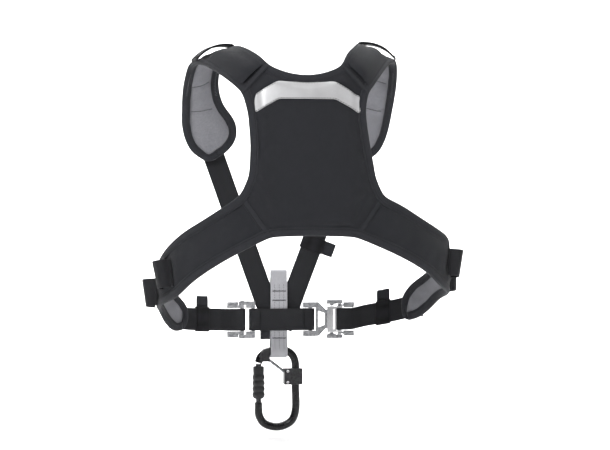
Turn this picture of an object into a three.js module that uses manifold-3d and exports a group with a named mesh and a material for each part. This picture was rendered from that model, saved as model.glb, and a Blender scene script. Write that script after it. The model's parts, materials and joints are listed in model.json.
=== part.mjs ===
// Safety harness vest: a padded chest harness as it sits on the wearer.
// Millimetres, +Z up, +Y is the wearer's front, +X the wearer's right.
// The origin is on the torso axis at the height of the chest belt.
//
// Soft parts are layers (cover, foam, lining) laid over one middle surface,
// with folded binding tape round their edges. Webbing is swept along its path.

import * as THREE from 'three';
import { mergeVertices } from 'three/addons/utils/BufferGeometryUtils.js';
import Module from 'manifold-3d';

// ---------------------------------------------------------------- sizes

const torso = {
  reachLeft: 177,      // half-width of the wing curve on each side
  reachRight: 186,
  depth: 115,          // torso axis to the lower back surface
  lean: 17,            // how far the upper back comes forward
  leanFrom: 130,
  leanTo: 300,
  sway: -7,            // sideways set of everything above the armholes
  swayFrom: 180,
  swayTo: 290,
  tilt: 2.5,           // how far one shoulder sits above the middle, the other below
};

const layer = {
  fabric: 0.8,         // cover and lining cloth
  gap: 0.25,           // between layers
  edgeHalf: 1.65,      // half-thickness of the laminate at a sewn edge
  backHalf: 4.2,       // half-thickness where the foam is full
  strapHalf: 5.0,
  wingHalf: 4.0,
};

const binding = {
  leg: 10,             // how far the tape reaches over each face
  thick: 0.8,
  gap: 0.8,
  flat: 12,            // unpadded margin under the tape
  ramp: 9,             // width over which the foam comes to full thickness
  inset: 2.2,          // cloth edge to the inside of the fold
};

const seamGap = 0.6;
const stationGap = 0.35;

const panel = {
  hemZ: 113,
  hemCornerZ: 111.5,
  wingTopZ: 160,
  armholeTopZ: 283,
  neckZ: 303.5,
  neckMidZ: 307,
  neckCornerZ: 316,
  corner: 0.6,         // share of the half-width where hem and neck end
  halfWidths: [[0, 85], [0.25, 75.5], [0.5, 71], [0.7, 70], [0.85, 72], [1, 75]],
};

// Shoulder strap edges, from above the shoulder seam over the top and down to
// the rounded lower end: [inner x, y, z, outer x, y, z] for the wearer's right.
const strapRails = [
  [51, -84.5, 327, 86, -80, 295],
  [66, -55, 341, 101, -54, 311],
  [75, -18, 347, 119, -18, 326],
  [82, 12, 344, 131, 10, 327],
  [90, 34, 330, 135.5, 32, 309],
  [92, 50, 305, 137, 52, 292],
  [85, 66, 281, 136.5, 70, 272],
  [67, 82, 258, 135.5, 85, 254],
  [65.5, 89, 238, 131, 91, 236],
  [77, 93, 221, 122, 93, 220],
  [91, 95, 212.3, 109, 95, 211.5],
];

// Wing edges past the seam, by angle round the torso, 0 at the spine and 90 at
// the side:
// [upper angle, lower angle, upper z and lower z right, the same left].
const wingRails = [
  [36, 28, 149, 97, 147, 95],
  [47, 40, 134, 82.6, 130, 77],
  [58, 52, 122.5, 67.6, 116, 58],
  [70, 64, 113.5, 51, 99.5, 38],
  [83, 77, 103, 42, 82, 30],
  [95, 90, 87, 37, 66, 24],
  [106, 102, 74, 31, 56, 17],
  [116, 112, 60, 16, 46, 0],
  [124, 121, 48, 4, 32, -10],
  [129, 128, 33, 1, 22, -6],
];

// Light band on the upper back: [distance from the middle, lower z, upper z].
const reflective = {
  thick: 0.5,
  lift: 1.2,
  stations: [[0, 274, 294], [33, 274, 296], [58, 260, 281]],
};

const webbing = {
  thick: 1.8,
  width: 29,
};

const belt = {
  z: 1,                // mid-height of the chest belt
  y: 116.9,            // mid-plane of the chest buckles
  bandHalfGap: 4.9,    // centre band layers, each side of the mid-plane
  bandLeft: -47,       // bars that the centre band loops round
  bandRight: 29.1,
  barLeft: -61.4,      // bars that the side belts loop round
  barRight: 68,
  wrapRadius: 3.6,
  layerHalf: 1.15,     // half the spacing of the two layers away from a bar
  converge: 16,        // length over which the layers come together
};

// Middle of each side belt from its bar to the wing: [x, y, z above the belt].
const beltLeftPath = [[-61.4, 116.9, 0], [-78, 114.4, 0], [-94, 107.8, 1],
  [-134, 83.8, 3.5], [-146.5, 75, 5.5], [-152.5, 69.5, 6.5], [-161.6, 58.6, 8]];
const beltRightPath = [[68, 116.9, 0], [84, 114.6, 0.4], [100, 107.6, 4.5],
  [138, 84.5, 13], [150, 76.8, 16.5], [158.3, 70.6, 18.5], [169.6, 58.8, 20]];

const bar = { radius: 2.5, sides: 12 };

const keeper = { length: 16, wall: 1.4, gap: 0.35, tab: 9, tabHalf: 0.8 };
const keeperPlaces = {
  left: { from: 2, to: 3, share: 0.55 },
  right: { from: 2, to: 3, share: 0.6 },
  strapZ: 101,
};

const diagonal = {
  top: [-97.5, 102.5, 208],
  lap: 30,             // length sewn on the pad's outer face
  slope: 0.364,        // sideways run for each unit of fall
  width: 28,
  leftY: 117,
  rightY: 119.4,
  centreX: -13.3,
  bendZ: 120,
  bendY: 111,
  levelZ: 40,
  endZ: -11,
};

const loop = {
  x: -13,
  width: 22.4,
  thick: 2.2,
  topZ: 66.5,
  backY: 114.5,
  frontY: 124.3,
  bightY: 119.4,
  bightZ: -39.7,
  bightRadius: 8.8,
  gather: 20,          // height over which the legs spread round the bight
  pinchFrom: 48,       // the legs lie together above this height
  pinchTo: 58,
  pinchHalf: 1.35,
};

const label = { x0: -38, x1: -25, y0: 114, y1: 115, z0: -25, z1: -10 };

// Chest buckles. X is across the wearer; z is from the belt's mid-height.
const adjuster = {
  left: -66,
  right: -44.6,
  stepX: -50,          // the frame is thinner past here, to clear the strap
  stepFront: -1.3,
  recessRight: -56.6,
  armLeft: -81.6,
  armRight: -59.4,
  halfDepth: 4,
  armHalfDepth: 3.5,
  inside: 15.3,
  armTop: 19.1,
  top: 24.3,
  barHalf: 19.4,
};

const tongue = {
  left: 19.3,
  right: 36.6,
  inside: 15.3,
  top: 22.5,
  halfDepth: 3.5,
  shoulder: 40,
  neck: 50,
  tip: 56.5,
  tipHalf: 12.5,
  plateHalf: 1.5,
  windowLeft: 39.5,
  windowRight: 48.5,
  windowHalf: 11,
  windowTipHalf: 7.5,
};

const receiver = {
  left: 50.9,
  wallRight: 63.2,
  right: 71.8,
  back: -4.9,
  wallFront: -2.3,
  front: 3.2,
  inside: 14.9,
  top: 17.1,
  slotLeft: 59.2,
  slotRight: 61,
  slotHalf: 13,
  armTop: 19.6,
  armLeft: 66,
  tabLeft: 73.5,
  tabRight: 87.5,
  tabInside: 16.2,
  tabTop: 22.3,
};

const release = {
  left: 51,
  stepX: 63.8,
  right: 71.5,
  inside: 20,
  stepZ: 22.8,
  top: 25.5,
  halfDepth: 4,
  stemLeft: 55.5,
  stemRight: 60.5,
  stemHalf: 1.2,
  stemFoot: 17.5,
};

const play = 0.3;      // clearance between buckle parts that move

const carabiner = {
  radius: 5.3,
  spineX: 9.5,
  gateX: -39.6,
  topZ: -39.7,
  bottomZ: -140.7,
  noseZ: -56.1,
  hingeZ: -112,
  pinRadius: 1.5,
  gateRadius: 4.2,
  gateTopZ: -57.5,
  sliderRadius: 6.0,
  sleeveRadius: 8.5,
  sleeveTopZ: -61,
  sleeveFootZ: -103,
  clearance: 0.3,
  earTopZ: -108.5,
  slotHalf: 2.3,
  slotFloorZ: -116.5,
  footHalf: 2,
  footWidth: 3.4,
  footZ: -114.6,
  bodyFootZ: -104,
};

const positioner = {
  clampLeft: -6,
  clampRight: 18,
  clampTopZ: -64,
  clampFootZ: -85,
  halfDepth: 8,
  split: 0.2,
  rodRadius: 2,
  rodFrom: [1.5, -73.7],
  rodTo: [-28.5, -50.3],
  clipOutline: [[-37.5, -54.6], [-39, -47], [-33.5, -38.4], [-25.2, -36.0], [-25.2, -54.6]],
  clipHalf: 6.8,
  screwX: -1.5,
  screwZ: [-67.2, -81.8],
  screwRadius: 1.2,
  screwHead: 2.1,
  headDepth: 1.2,
};

// Each loop is a band across the wing that bows outward, open at both ends.
const toolLoops = [
  { name: 'tool_loop_rear_left', side: -1, angle: 70, z: 66 },
  { name: 'tool_loop_front_left', side: -1, angle: 88, z: 42 },
  { name: 'tool_loop_rear_right', side: 1, angle: 76, z: 78 },
  { name: 'tool_loop_front_right', side: 1, angle: 97, z: 58 },
];
const toolLoop = { width: 34, span: 25, rise: 12, thick: 1.6, lap: 3.5, gap: 0.6, slope: 0.2 };

const bridge = { width: 20, thick: 1.8, rise: 6, lap: 3, gap: 0.5 };

// ------------------------------------------------------------ materials

const looks = {
  cover: { color: 0x2e2f33, roughness: 0.9, metalness: 0 },
  foam: { color: 0x6d6e72, roughness: 1, metalness: 0 },
  lining: { color: 0x7f7f85, roughness: 0.92, metalness: 0 },
  tape: { color: 0x3c3d41, roughness: 0.85, metalness: 0 },
  reflector: { color: 0xc4c4c7, roughness: 0.45, metalness: 0 },
  webbing: { color: 0x1f2023, roughness: 0.8, metalness: 0 },
  greyWebbing: { color: 0x98989d, roughness: 0.85, metalness: 0 },
  steel: { color: 0xdcdde0, roughness: 0.25, metalness: 1 },
  satin: { color: 0x85878c, roughness: 0.5, metalness: 1 },
  blackMetal: { color: 0x18191a, roughness: 0.35, metalness: 0.6 },
  blackPlastic: { color: 0x1b1c1d, roughness: 0.5, metalness: 0 },
  greyRod: { color: 0x77787b, roughness: 0.4, metalness: 0.8 },
};

const group = new THREE.Group();
group.name = 'safety_harness_vest';

function add(name, geometry, look) {
  const mesh = new THREE.Mesh(geometry, new THREE.MeshStandardMaterial(looks[look]));
  mesh.name = name;
  group.add(mesh);
  return mesh;
}

// --------------------------------------------------------- small helpers

const vec = (x, y, z) => new THREE.Vector3(x, y, z);
const mix = (a, b, t) => a + (b - a) * t;
const blend = (a, b, t) => a.clone().lerp(b, t);
const radians = (degrees) => degrees * Math.PI / 180;

function smoothstep(value, from, to) {
  const t = Math.min(1, Math.max(0, (value - from) / (to - from)));
  return t * t * (3 - 2 * t);
}

function lookUp(table, at) {
  for (let i = 1; i < table.length; i += 1) {
    const [x0, y0] = table[i - 1];
    const [x1, y1] = table[i];
    if (at <= x1) return mix(y0, y1, (at - x0) / (x1 - x0));
  }
  return table[table.length - 1][1];
}

const swayAt = (z) => torso.sway * smoothstep(z, torso.swayFrom, torso.swayTo);
const reachOf = (x) => (x < 0 ? torso.reachLeft : torso.reachRight);

function depthAt(z) {
  const rise = Math.max(0, (z - torso.leanFrom) / (torso.leanTo - torso.leanFrom));
  return torso.depth - torso.lean * rise * rise;
}

function backPoint(x, z) {
  const share = x / reachOf(x);
  return vec(x + swayAt(z), -depthAt(z) * Math.sqrt(1 - share * share), z);
}

function wingPoint(side, angle, z) {
  const reach = reachOf(side);
  const a = radians(angle);
  return vec(side * reach * Math.sin(a) + swayAt(z), -depthAt(z) * Math.cos(a), z);
}

// Closed triangle mesh from a vertex list and faces, turned to face outward.
function closedMesh(points, faces) {
  let volume = 0;
  for (const [a, b, c] of faces) {
    volume += points[a].dot(points[b].clone().cross(points[c]));
  }
  const positions = [];
  for (const [a, b, c] of faces) {
    const order = volume > 0 ? [a, b, c] : [a, c, b];
    for (const index of order) positions.push(...points[index].toArray());
  }
  const geometry = new THREE.BufferGeometry();
  geometry.setAttribute('position', new THREE.Float32BufferAttribute(positions, 3));
  return geometry;
}

// Solid through a row of matching rings; a closed path joins last to first.
function loft(rings, closedPath = false) {
  const count = rings[0].length;
  const points = rings.flat();
  const faces = [];
  const spans = closedPath ? rings.length : rings.length - 1;
  for (let i = 0; i < spans; i += 1) {
    const here = i * count;
    const next = ((i + 1) % rings.length) * count;
    for (let j = 0; j < count; j += 1) {
      const k = (j + 1) % count;
      faces.push([here + j, next + j, next + k], [here + j, next + k, here + k]);
    }
  }
  if (!closedPath) {
    const end = (rings.length - 1) * count;
    for (const [a, b, c] of capFaces(rings[0])) faces.push([a, b, c]);
    for (const [a, b, c] of capFaces(rings.at(-1))) faces.push([end + c, end + b, end + a]);
  }
  return closedMesh(points, faces);
}

// Triangles that fill a flat ring, wound as the ring is.
function capFaces(ring) {
  const centre = ring.reduce((sum, p) => sum.add(p), vec(0, 0, 0)).divideScalar(ring.length);
  const normal = vec(0, 0, 0);
  ring.forEach((p, i) => {
    const q = ring[(i + 1) % ring.length];
    normal.add(p.clone().sub(centre).cross(q.clone().sub(centre)));
  });
  normal.normalize();
  const across = ring[1].clone().sub(ring[0]).normalize();
  const up = normal.clone().cross(across);
  const flat = ring.map((p) => {
    const d = p.clone().sub(centre);
    return new THREE.Vector2(d.dot(across), d.dot(up));
  });
  return THREE.ShapeUtils.triangulateShape(flat, []).map(([a, b, c]) => (
    THREE.ShapeUtils.area([flat[a], flat[b], flat[c]]) > 0 ? [a, b, c] : [c, b, a]));
}

// ------------------------------------------------- padded panel surfaces

// A sheet is a grid of middle-surface points with an outward normal at each.
function makeSheet(points) {
  const last = points.length - 1;
  const edge = points[0].length - 1;
  const normals = points.map((row, i) => row.map((_, j) => {
    const along = points[Math.min(i + 1, last)][j].clone().sub(points[Math.max(i - 1, 0)][j]);
    const across = row[Math.min(j + 1, edge)].clone().sub(row[Math.max(j - 1, 0)]);
    return across.cross(along).normalize();
  }));
  return { points, normals };
}

// The same sheet with each border drawn in by its own distance.
function trimSheet(sheet, cuts) {
  const grab = (grid) => grid.map((row) => row.map((p) => p.clone()));
  const points = grab(sheet.points);
  const last = points.length - 1;
  const edge = points[0].length - 1;
  const draw = (i, j, k, l, cut) => {
    const from = sheet.points[i][j];
    const to = sheet.points[k][l];
    points[i][j].add(to.clone().sub(from).multiplyScalar(cut / from.distanceTo(to)));
  };
  for (let i = 0; i <= last; i += 1) {
    draw(i, 0, i, 1, cuts.first);
    draw(i, edge, i, edge - 1, cuts.second);
  }
  for (let j = 0; j <= edge; j += 1) {
    draw(0, j, 1, j, typeof cuts.start === 'function' ? cuts.start(j) : cuts.start);
    draw(last, j, last - 1, j, typeof cuts.end === 'function' ? cuts.end(j) : cuts.end);
  }
  return { points, normals: sheet.normals };
}

// Solid between two offsets of a sheet.
function layerSolid(sheet, low, high) {
  const rows = sheet.points.length;
  const columns = sheet.points[0].length;
  const points = [];
  const place = (height) => sheet.points.forEach((row, i) => row.forEach((p, j) => {
    points.push(p.clone().addScaledVector(sheet.normals[i][j], height(i, j)));
  }));
  place(high);
  place(low);
  const top = (i, j) => i * columns + j;
  const under = (i, j) => rows * columns + i * columns + j;
  const faces = [];
  for (let i = 0; i < rows - 1; i += 1) {
    for (let j = 0; j < columns - 1; j += 1) {
      faces.push([top(i, j), top(i, j + 1), top(i + 1, j + 1)]);
      faces.push([top(i, j), top(i + 1, j + 1), top(i + 1, j)]);
      faces.push([under(i, j), under(i + 1, j + 1), under(i, j + 1)]);
      faces.push([under(i, j), under(i + 1, j), under(i + 1, j + 1)]);
    }
  }
  const wall = (a, b) => {
    faces.push([top(...b), top(...a), under(...a)], [top(...b), under(...a), under(...b)]);
  };
  for (let j = 0; j < columns - 1; j += 1) {
    wall([0, j], [0, j + 1]);
    wall([rows - 1, j + 1], [rows - 1, j]);
  }
  for (let i = 0; i < rows - 1; i += 1) {
    wall([i, columns - 1], [i + 1, columns - 1]);
    wall([i + 1, 0], [i, 0]);
  }
  return closedMesh(points, faces);
}

// Cover, foam and lining of one padded zone. half(i, j) is half the laminate.
function addPadding(name, sheet, half) {
  const skin = layer.fabric;
  const core = (i, j) => half(i, j) - skin - layer.gap;
  add(`${name}_cover`, layerSolid(sheet, (i, j) => half(i, j) - skin, half), 'cover');
  add(`${name}_foam`, layerSolid(sheet, (i, j) => -core(i, j), core), 'foam');
  add(`${name}_lining`, layerSolid(sheet, (i, j) => -half(i, j), (i, j) => skin - half(i, j)),
    'lining');
}

// Distances across a strip of this width: edge, tape margin, foam, and back.
function acrossDistances(width) {
  const margin = Math.min(binding.flat, width * 0.3);
  const full = Math.min(binding.flat + binding.ramp, width * 0.4);
  return [0, margin, full, width / 2, width - full, width - margin, width];
}

function stripSheet(inner, outer) {
  return makeSheet(inner.map((a, i) => {
    const b = outer[i];
    const width = a.distanceTo(b);
    return acrossDistances(width).map((d) => blend(a, b, d / width));
  }));
}

function padHalf(rows, columns, full, flatRows) {
  return (i, j) => {
    const margin = j <= 1 || j >= columns - 2 || i < flatRows || i === rows - 1;
    return margin ? layer.edgeHalf : full;
  };
}

function backSheet() {
  const rise = (share) => {
    const z0 = lookUp([[0, panel.hemZ], [panel.corner, panel.hemCornerZ], [1, panel.wingTopZ]], share);
    const z1 = lookUp([[0, panel.neckZ], [0.33, panel.neckMidZ], [panel.corner, panel.neckCornerZ],
      [1, panel.armholeTopZ]], share);
    return [z0, z1];
  };
  const m = binding.flat;
  const f = binding.flat + binding.ramp;
  const heights = (z0, z1) => {
    const middle = [0.25, 0.5, 0.75].map((t) => mix(z0 + f, z1 - f, t));
    return [z0, z0 + m, z0 + f, ...middle, z1 - f, z1 - m, z1];
  };
  const rowCount = 9;
  const rows = [];
  for (let i = 0; i < rowCount; i += 1) {
    const width = lookUp(panel.halfWidths, i / (rowCount - 1));
    const shares = [1, 1 - m / width, panel.corner, 0.33, 0];
    const row = shares.map((share) => {
      const z = heights(...rise(share))[i];
      return [share * width, z];
    });
    const left = row.map(([x, z]) => backPoint(-x, z));
    const right = row.slice(0, -1).reverse().map(([x, z]) => backPoint(x, z));
    rows.push([...left, ...right]);
  }
  return makeSheet(rows);
}

// A rail with one more station set between each pair on a smooth curve.
function smoothRail(points) {
  const curve = new THREE.CatmullRomCurve3(points);
  const steps = 2 * (points.length - 1);
  return Array.from({ length: steps + 1 }, (_, i) => curve.getPoint(i / steps));
}

function strapSheet(side) {
  const place = (x, y, z) => vec(side * x + torso.sway, y,
    z + side * torso.tilt * smoothstep(z, 280, 330));
  const seam = back.points.at(-1);
  const [corner, end] = side > 0 ? [seam.at(-3), seam.at(-1)] : [seam[2], seam[0]];
  const inner = smoothRail([corner, ...strapRails.map((r) => place(r[0], r[1], r[2]))]);
  const outer = smoothRail([end, ...strapRails.map((r) => place(r[3], r[4], r[5]))]);
  const sheet = side > 0 ? stripSheet(inner, outer) : stripSheet(outer, inner);
  return matchSeam(sheet, back.normals.at(-1), side);
}

// Gives the first row of a strap the normals of the back panel at the seam.
function matchSeam(sheet, seamNormals, side) {
  const ends = side > 0 ? [seamNormals.at(-3), seamNormals.at(-1)] : [seamNormals[0], seamNormals[2]];
  const last = sheet.normals[0].length - 1;
  const first = sheet.normals[0].map((_, j) => blend(ends[0], ends[1], j / last).normalize());
  const second = sheet.normals[1].map((normal, j) => blend(normal, first[j], 0.4).normalize());
  return { points: sheet.points, normals: [first, second, ...sheet.normals.slice(2)] };
}

function wingSheet(side) {
  const seam = back.points[0];
  const [top, foot] = side > 0 ? [seam.at(-1), seam.at(-3)] : [seam[0], seam[2]];
  const upper = [top, ...wingRails.map((r) => wingPoint(side, r[0], side > 0 ? r[2] : r[4]))];
  const lower = [foot, ...wingRails.map((r) => wingPoint(side, r[1], side > 0 ? r[3] : r[5]))];
  return side > 0 ? stripSheet(upper, lower) : stripSheet(lower, upper);
}

// ----------------------------------------------------------- edge binding

// One station of an edge: the rail point, the point at the tape margin, and
// the normals at both.
function edgeStation(sheet, i, j, k, l) {
  return {
    edge: sheet.points[i][j],
    inner: sheet.points[k][l],
    edgeNormal: sheet.normals[i][j],
    innerNormal: sheet.normals[k][l],
  };
}

function columnEdge(sheet, atFirst) {
  const last = sheet.points[0].length - 1;
  const [j, l] = atFirst ? [0, 1] : [last, last - 1];
  return sheet.points.map((_, i) => edgeStation(sheet, i, j, i, l));
}

function rowEdge(sheet, atFirst, from, to) {
  const last = sheet.points.length - 1;
  const [i, k] = atFirst ? [0, 1] : [last, last - 1];
  const stations = [];
  for (let j = from; j <= to; j += 1) stations.push(edgeStation(sheet, i, j, k, j));
  return stations;
}

// Joins edge runs end to end; the station that two runs share is averaged.
function joinEdges(...runs) {
  const joined = [...runs[0]];
  for (const run of runs.slice(1)) {
    const a = joined.pop();
    const b = run[0];
    const half = (p, q) => blend(p, q, 0.5);
    joined.push({
      edge: half(a.edge, b.edge),
      inner: half(a.inner, b.inner),
      edgeNormal: half(a.edgeNormal, b.edgeNormal).normalize(),
      innerNormal: half(a.innerNormal, b.innerNormal).normalize(),
    });
    joined.push(...run.slice(1));
  }
  return joined;
}

// Tape folded over an edge, as a U-shaped section swept along the stations.
function tapeSolid(stations) {
  const inside = layer.edgeHalf + binding.gap;
  const outside = inside + binding.thick;
  const rings = stations.map((station, index) => {
    const width = station.edge.distanceTo(station.inner);
    const leg = Math.min(binding.leg, width * 0.8);
    const along = endSetBack(stations, index);
    const section = [[0, -outside], [leg, -outside], [leg, -inside], [binding.thick, -inside],
      [binding.thick, inside], [leg, inside], [leg, outside], [0, outside]];
    return section.map(([s, n]) => {
      const t = s / width;
      const p = blend(station.edge, station.inner, t);
      p.addScaledVector(blend(station.edgeNormal, station.innerNormal, t), n);
      return p.add(along);
    });
  });
  return loft(rings);
}

// Shift that draws the two end stations in, so that tapes that meet keep a gap.
function endSetBack(stations, index) {
  const last = stations.length - 1;
  if (index !== 0 && index !== last) return vec(0, 0, 0);
  const next = stations[index === 0 ? 1 : last - 1].edge;
  const step = next.clone().sub(stations[index].edge).normalize();
  return step.multiplyScalar(stationGap);
}

// --------------------------------------------------------------- webbing

// Flat webbing along a path; wide and out are the width and face directions.
function webbingSolid(stations, width, thick, closedPath = false) {
  const rings = stations.map(({ at, wide, out }) => {
    const corner = (w, t) => at.clone().addScaledVector(wide, w * width / 2)
      .addScaledVector(out, t * thick / 2);
    return [corner(-1, -1), corner(1, -1), corner(1, 1), corner(-1, 1)];
  });
  return loft(rings, closedPath);
}

// Stations of a path in the XY plane whose width stays upright.
function uprightStations(points) {
  const up = vec(0, 0, 1);
  return points.map((at, i) => {
    const before = points[Math.max(i - 1, 0)];
    const after = points[Math.min(i + 1, points.length - 1)];
    const way = after.clone().sub(before).setZ(0).normalize();
    return { at, wide: up, out: way.cross(up) };
  });
}

// A belt that comes from the wing, turns round its bar and doubles back.
function foldedBelt(path, tailFrom) {
  const middle = path.map(([x, y, z]) => vec(x, y, z + belt.z));
  const towards = Math.sign(path[1][0] - path[0][0]);
  const lengths = [0];
  for (let i = 1; i < middle.length; i += 1) {
    lengths.push(lengths[i - 1] + middle[i].distanceTo(middle[i - 1]));
  }
  const offset = (i, sign) => {
    const a = middle[Math.max(i - 1, 0)];
    const b = middle[Math.min(i + 1, middle.length - 1)];
    const way = b.clone().sub(a).setZ(0).normalize();
    const out = vec(-way.y, way.x, 0).multiplyScalar(towards);
    const half = mix(belt.wrapRadius, belt.layerHalf, Math.min(1, lengths[i] / belt.converge));
    return middle[i].clone().addScaledVector(out, sign * half);
  };
  const inner = middle.map((_, i) => offset(i, -1));
  const outer = middle.map((_, i) => offset(i, 1)).slice(0, tailFrom + 1);
  const turn = [];
  const steps = 8;
  for (let k = 1; k < steps; k += 1) {
    const a = Math.PI * k / steps;
    turn.push(vec(middle[0].x - towards * belt.wrapRadius * Math.sin(a),
      middle[0].y - belt.wrapRadius * Math.cos(a), middle[0].z));
  }
  inner[0] = vec(middle[0].x, middle[0].y - belt.wrapRadius, middle[0].z);
  outer[0] = vec(middle[0].x, middle[0].y + belt.wrapRadius, middle[0].z);
  return uprightStations([...inner.reverse(), ...turn, ...outer]);
}

function stadium(x0, x1, y, z, radius, steps) {
  const points = [];
  for (const [x, from] of [[x1, -90], [x0, 90]]) {
    for (let k = 0; k <= steps; k += 1) {
      const a = radians(from + 180 * k / steps);
      points.push({
        at: vec(x + radius * Math.cos(a), y + radius * Math.sin(a), z),
        wide: vec(0, 0, 1),
        out: vec(Math.cos(a), Math.sin(a), 0),
      });
    }
  }
  return points;
}

// ------------------------------------------------------- joined hardware

const wasm = await Module();
wasm.setup();

function toManifold(geometry) {
  const plain = new THREE.BufferGeometry();
  const source = geometry.index ? geometry.toNonIndexed() : geometry;
  plain.setAttribute('position', source.getAttribute('position').clone());
  const merged = mergeVertices(plain, 1e-4);
  return new wasm.Manifold(new wasm.Mesh({
    numProp: 3,
    vertProperties: new Float32Array(merged.getAttribute('position').array),
    triVerts: new Uint32Array(merged.index.array),
  }));
}

function fromManifold(solid) {
  const mesh = solid.getMesh();
  const geometry = new THREE.BufferGeometry();
  geometry.setAttribute('position', new THREE.BufferAttribute(mesh.vertProperties, 3));
  geometry.setIndex(new THREE.BufferAttribute(mesh.triVerts, 1));
  return geometry.toNonIndexed();
}

function join(...geometries) {
  return fromManifold(geometries.map(toManifold).reduce((a, b) => a.add(b)));
}

function cut(geometry, ...tools) {
  return fromManifold(tools.map(toManifold).reduce((a, b) => a.subtract(b), toManifold(geometry)));
}

function box(x0, x1, y0, y1, z0, z1) {
  const geometry = new THREE.BoxGeometry(x1 - x0, y1 - y0, z1 - z0);
  return geometry.translate((x0 + x1) / 2, (y0 + y1) / 2, (z0 + z1) / 2);
}

// Plate with its outline in X and Z, between two values of Y.
function plate(outline, y0, y1) {
  const shape = new THREE.Shape(outline.map(([x, z]) => new THREE.Vector2(x, z)));
  const geometry = new THREE.ExtrudeGeometry(shape, { depth: y1 - y0, bevelEnabled: false });
  return geometry.rotateX(Math.PI / 2).translate(0, y1, 0);
}

function upright(x, y, z0, z1, radius, sides = bar.sides) {
  const geometry = new THREE.CylinderGeometry(radius, radius, z1 - z0, sides);
  return geometry.rotateX(Math.PI / 2).translate(x, y, (z0 + z1) / 2);
}

function tube(x, y, z0, z1, outer, inner, sides) {
  return cut(upright(x, y, z0, z1, outer, sides), upright(x, y, z0 - 1, z1 + 1, inner, sides));
}

function roundBar(points, radius, sides) {
  const rings = points.map((at, i) => {
    const before = points[Math.max(i - 1, 0)];
    const after = points[Math.min(i + 1, points.length - 1)];
    const way = after.clone().sub(before).normalize();
    const side = vec(0, 1, 0);
    const up = way.clone().cross(side).normalize();
    const ring = [];
    for (let k = 0; k < sides; k += 1) {
      const a = 2 * Math.PI * (k + 0.5) / sides;
      ring.push(at.clone().addScaledVector(side, radius * Math.cos(a))
        .addScaledVector(up, radius * Math.sin(a)));
    }
    return ring;
  });
  return loft(rings);
}

// ---------------------------------------------------- padded panels built

const back = backSheet();
const straps = { left: strapSheet(-1), right: strapSheet(1) };
const wings = { left: wingSheet(-1), right: wingSheet(1) };

function addPanels() {
  const rows = back.points.length;
  const columns = back.points[0].length;
  const sides = { first: binding.inset, second: binding.inset };
  const seamColumns = (j) => (j <= 1 || j >= columns - 2 ? seamGap : binding.inset);
  addPadding('back_panel', trimSheet(back, { ...sides, start: seamColumns, end: seamColumns }),
    (i, j) => {
      const margin = i <= 1 || i >= rows - 2 || j <= 1 || j >= columns - 2;
      return margin ? layer.edgeHalf : layer.backHalf;
    });
  for (const name of ['left', 'right']) {
    const strap = straps[name];
    const count = strap.points.length;
    addPadding(`shoulder_${name}`, trimSheet(strap, { ...sides, start: seamGap, end: binding.inset }),
      padHalf(count, strap.points[0].length, layer.strapHalf, 2));
    const wing = wings[name];
    addPadding(`wing_${name}`, trimSheet(wing, { ...sides, start: seamGap, end: binding.inset }),
      padHalf(wing.points.length, wing.points[0].length, layer.wingHalf, 1));
  }
}

function addBindings() {
  const columns = back.points[0].length;
  const flip = (run) => [...run].reverse();
  const neck = joinEdges(flip(columnEdge(straps.left, false)), rowEdge(back, false, 2, columns - 3),
    columnEdge(straps.right, true));
  const hem = joinEdges(flip(columnEdge(wings.left, true)), rowEdge(back, true, 2, columns - 3),
    columnEdge(wings.right, false));
  const armLeft = joinEdges(flip(columnEdge(wings.left, false)), columnEdge(back, true),
    columnEdge(straps.left, true));
  const armRight = joinEdges(flip(columnEdge(wings.right, true)), columnEdge(back, false),
    columnEdge(straps.right, false));
  add('neck_binding', tapeSolid(neck), 'tape');
  add('hem_binding', tapeSolid(hem), 'tape');
  add('armhole_binding_left', tapeSolid(armLeft), 'tape');
  add('armhole_binding_right', tapeSolid(armRight), 'tape');
}

// The light band lies across the upper back panel, on its cover.
function addReflector() {
  const right = reflective.stations;
  const left = right.slice(1).map(([x, z0, z1]) => [-x, z0, z1]).reverse();
  const columns = [...left, ...right];
  const lower = columns.map(([x, z0]) => backPoint(x, z0));
  const upper = columns.map(([x, , z1]) => backPoint(x, z1));
  const base = layer.backHalf + reflective.lift;
  const sheet = makeSheet([lower, upper]);
  add('reflective_strip', layerSolid(sheet, () => base, () => base + reflective.thick),
    'reflector');
}

// Flat arch across the top of each shoulder, lapped at both edges.
function addBridges() {
  for (const [name, strap] of Object.entries(straps)) {
    const row = 7;
    const points = strap.points[row];
    const normals = strap.normals[row];
    const way = strap.points[row + 1][3].clone().sub(strap.points[row - 1][3]).normalize();
    const last = points.length - 1;
    const width = points[0].distanceTo(points[last]);
    const base = layer.strapHalf + bridge.gap + bridge.thick / 2;
    const edgeBase = layer.edgeHalf + binding.gap + binding.thick + bridge.gap + bridge.thick / 2;
    const steps = 10;
    const stations = [];
    for (let k = 0; k <= steps; k += 1) {
      const t = mix(bridge.lap, width - bridge.lap, k / steps) / width;
      const at = blend(points[0], points[last], t);
      const out = blend(normals[0], normals[last], t).normalize();
      const lift = Math.max(edgeBase, base) + bridge.rise * Math.sin(Math.PI * k / steps);
      stations.push({ at: at.addScaledVector(out, lift), wide: way, out });
    }
    add(`bridge_loop_${name}`, webbingSolid(stations, bridge.width, bridge.thick), 'webbing');
  }
}

// Outward direction of the wing surface at an angle.
function wingNormal(side, angle) {
  const a = radians(angle);
  return vec(side * torso.depth * Math.sin(a), -reachOf(side) * Math.cos(a), 0).normalize();
}

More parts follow.
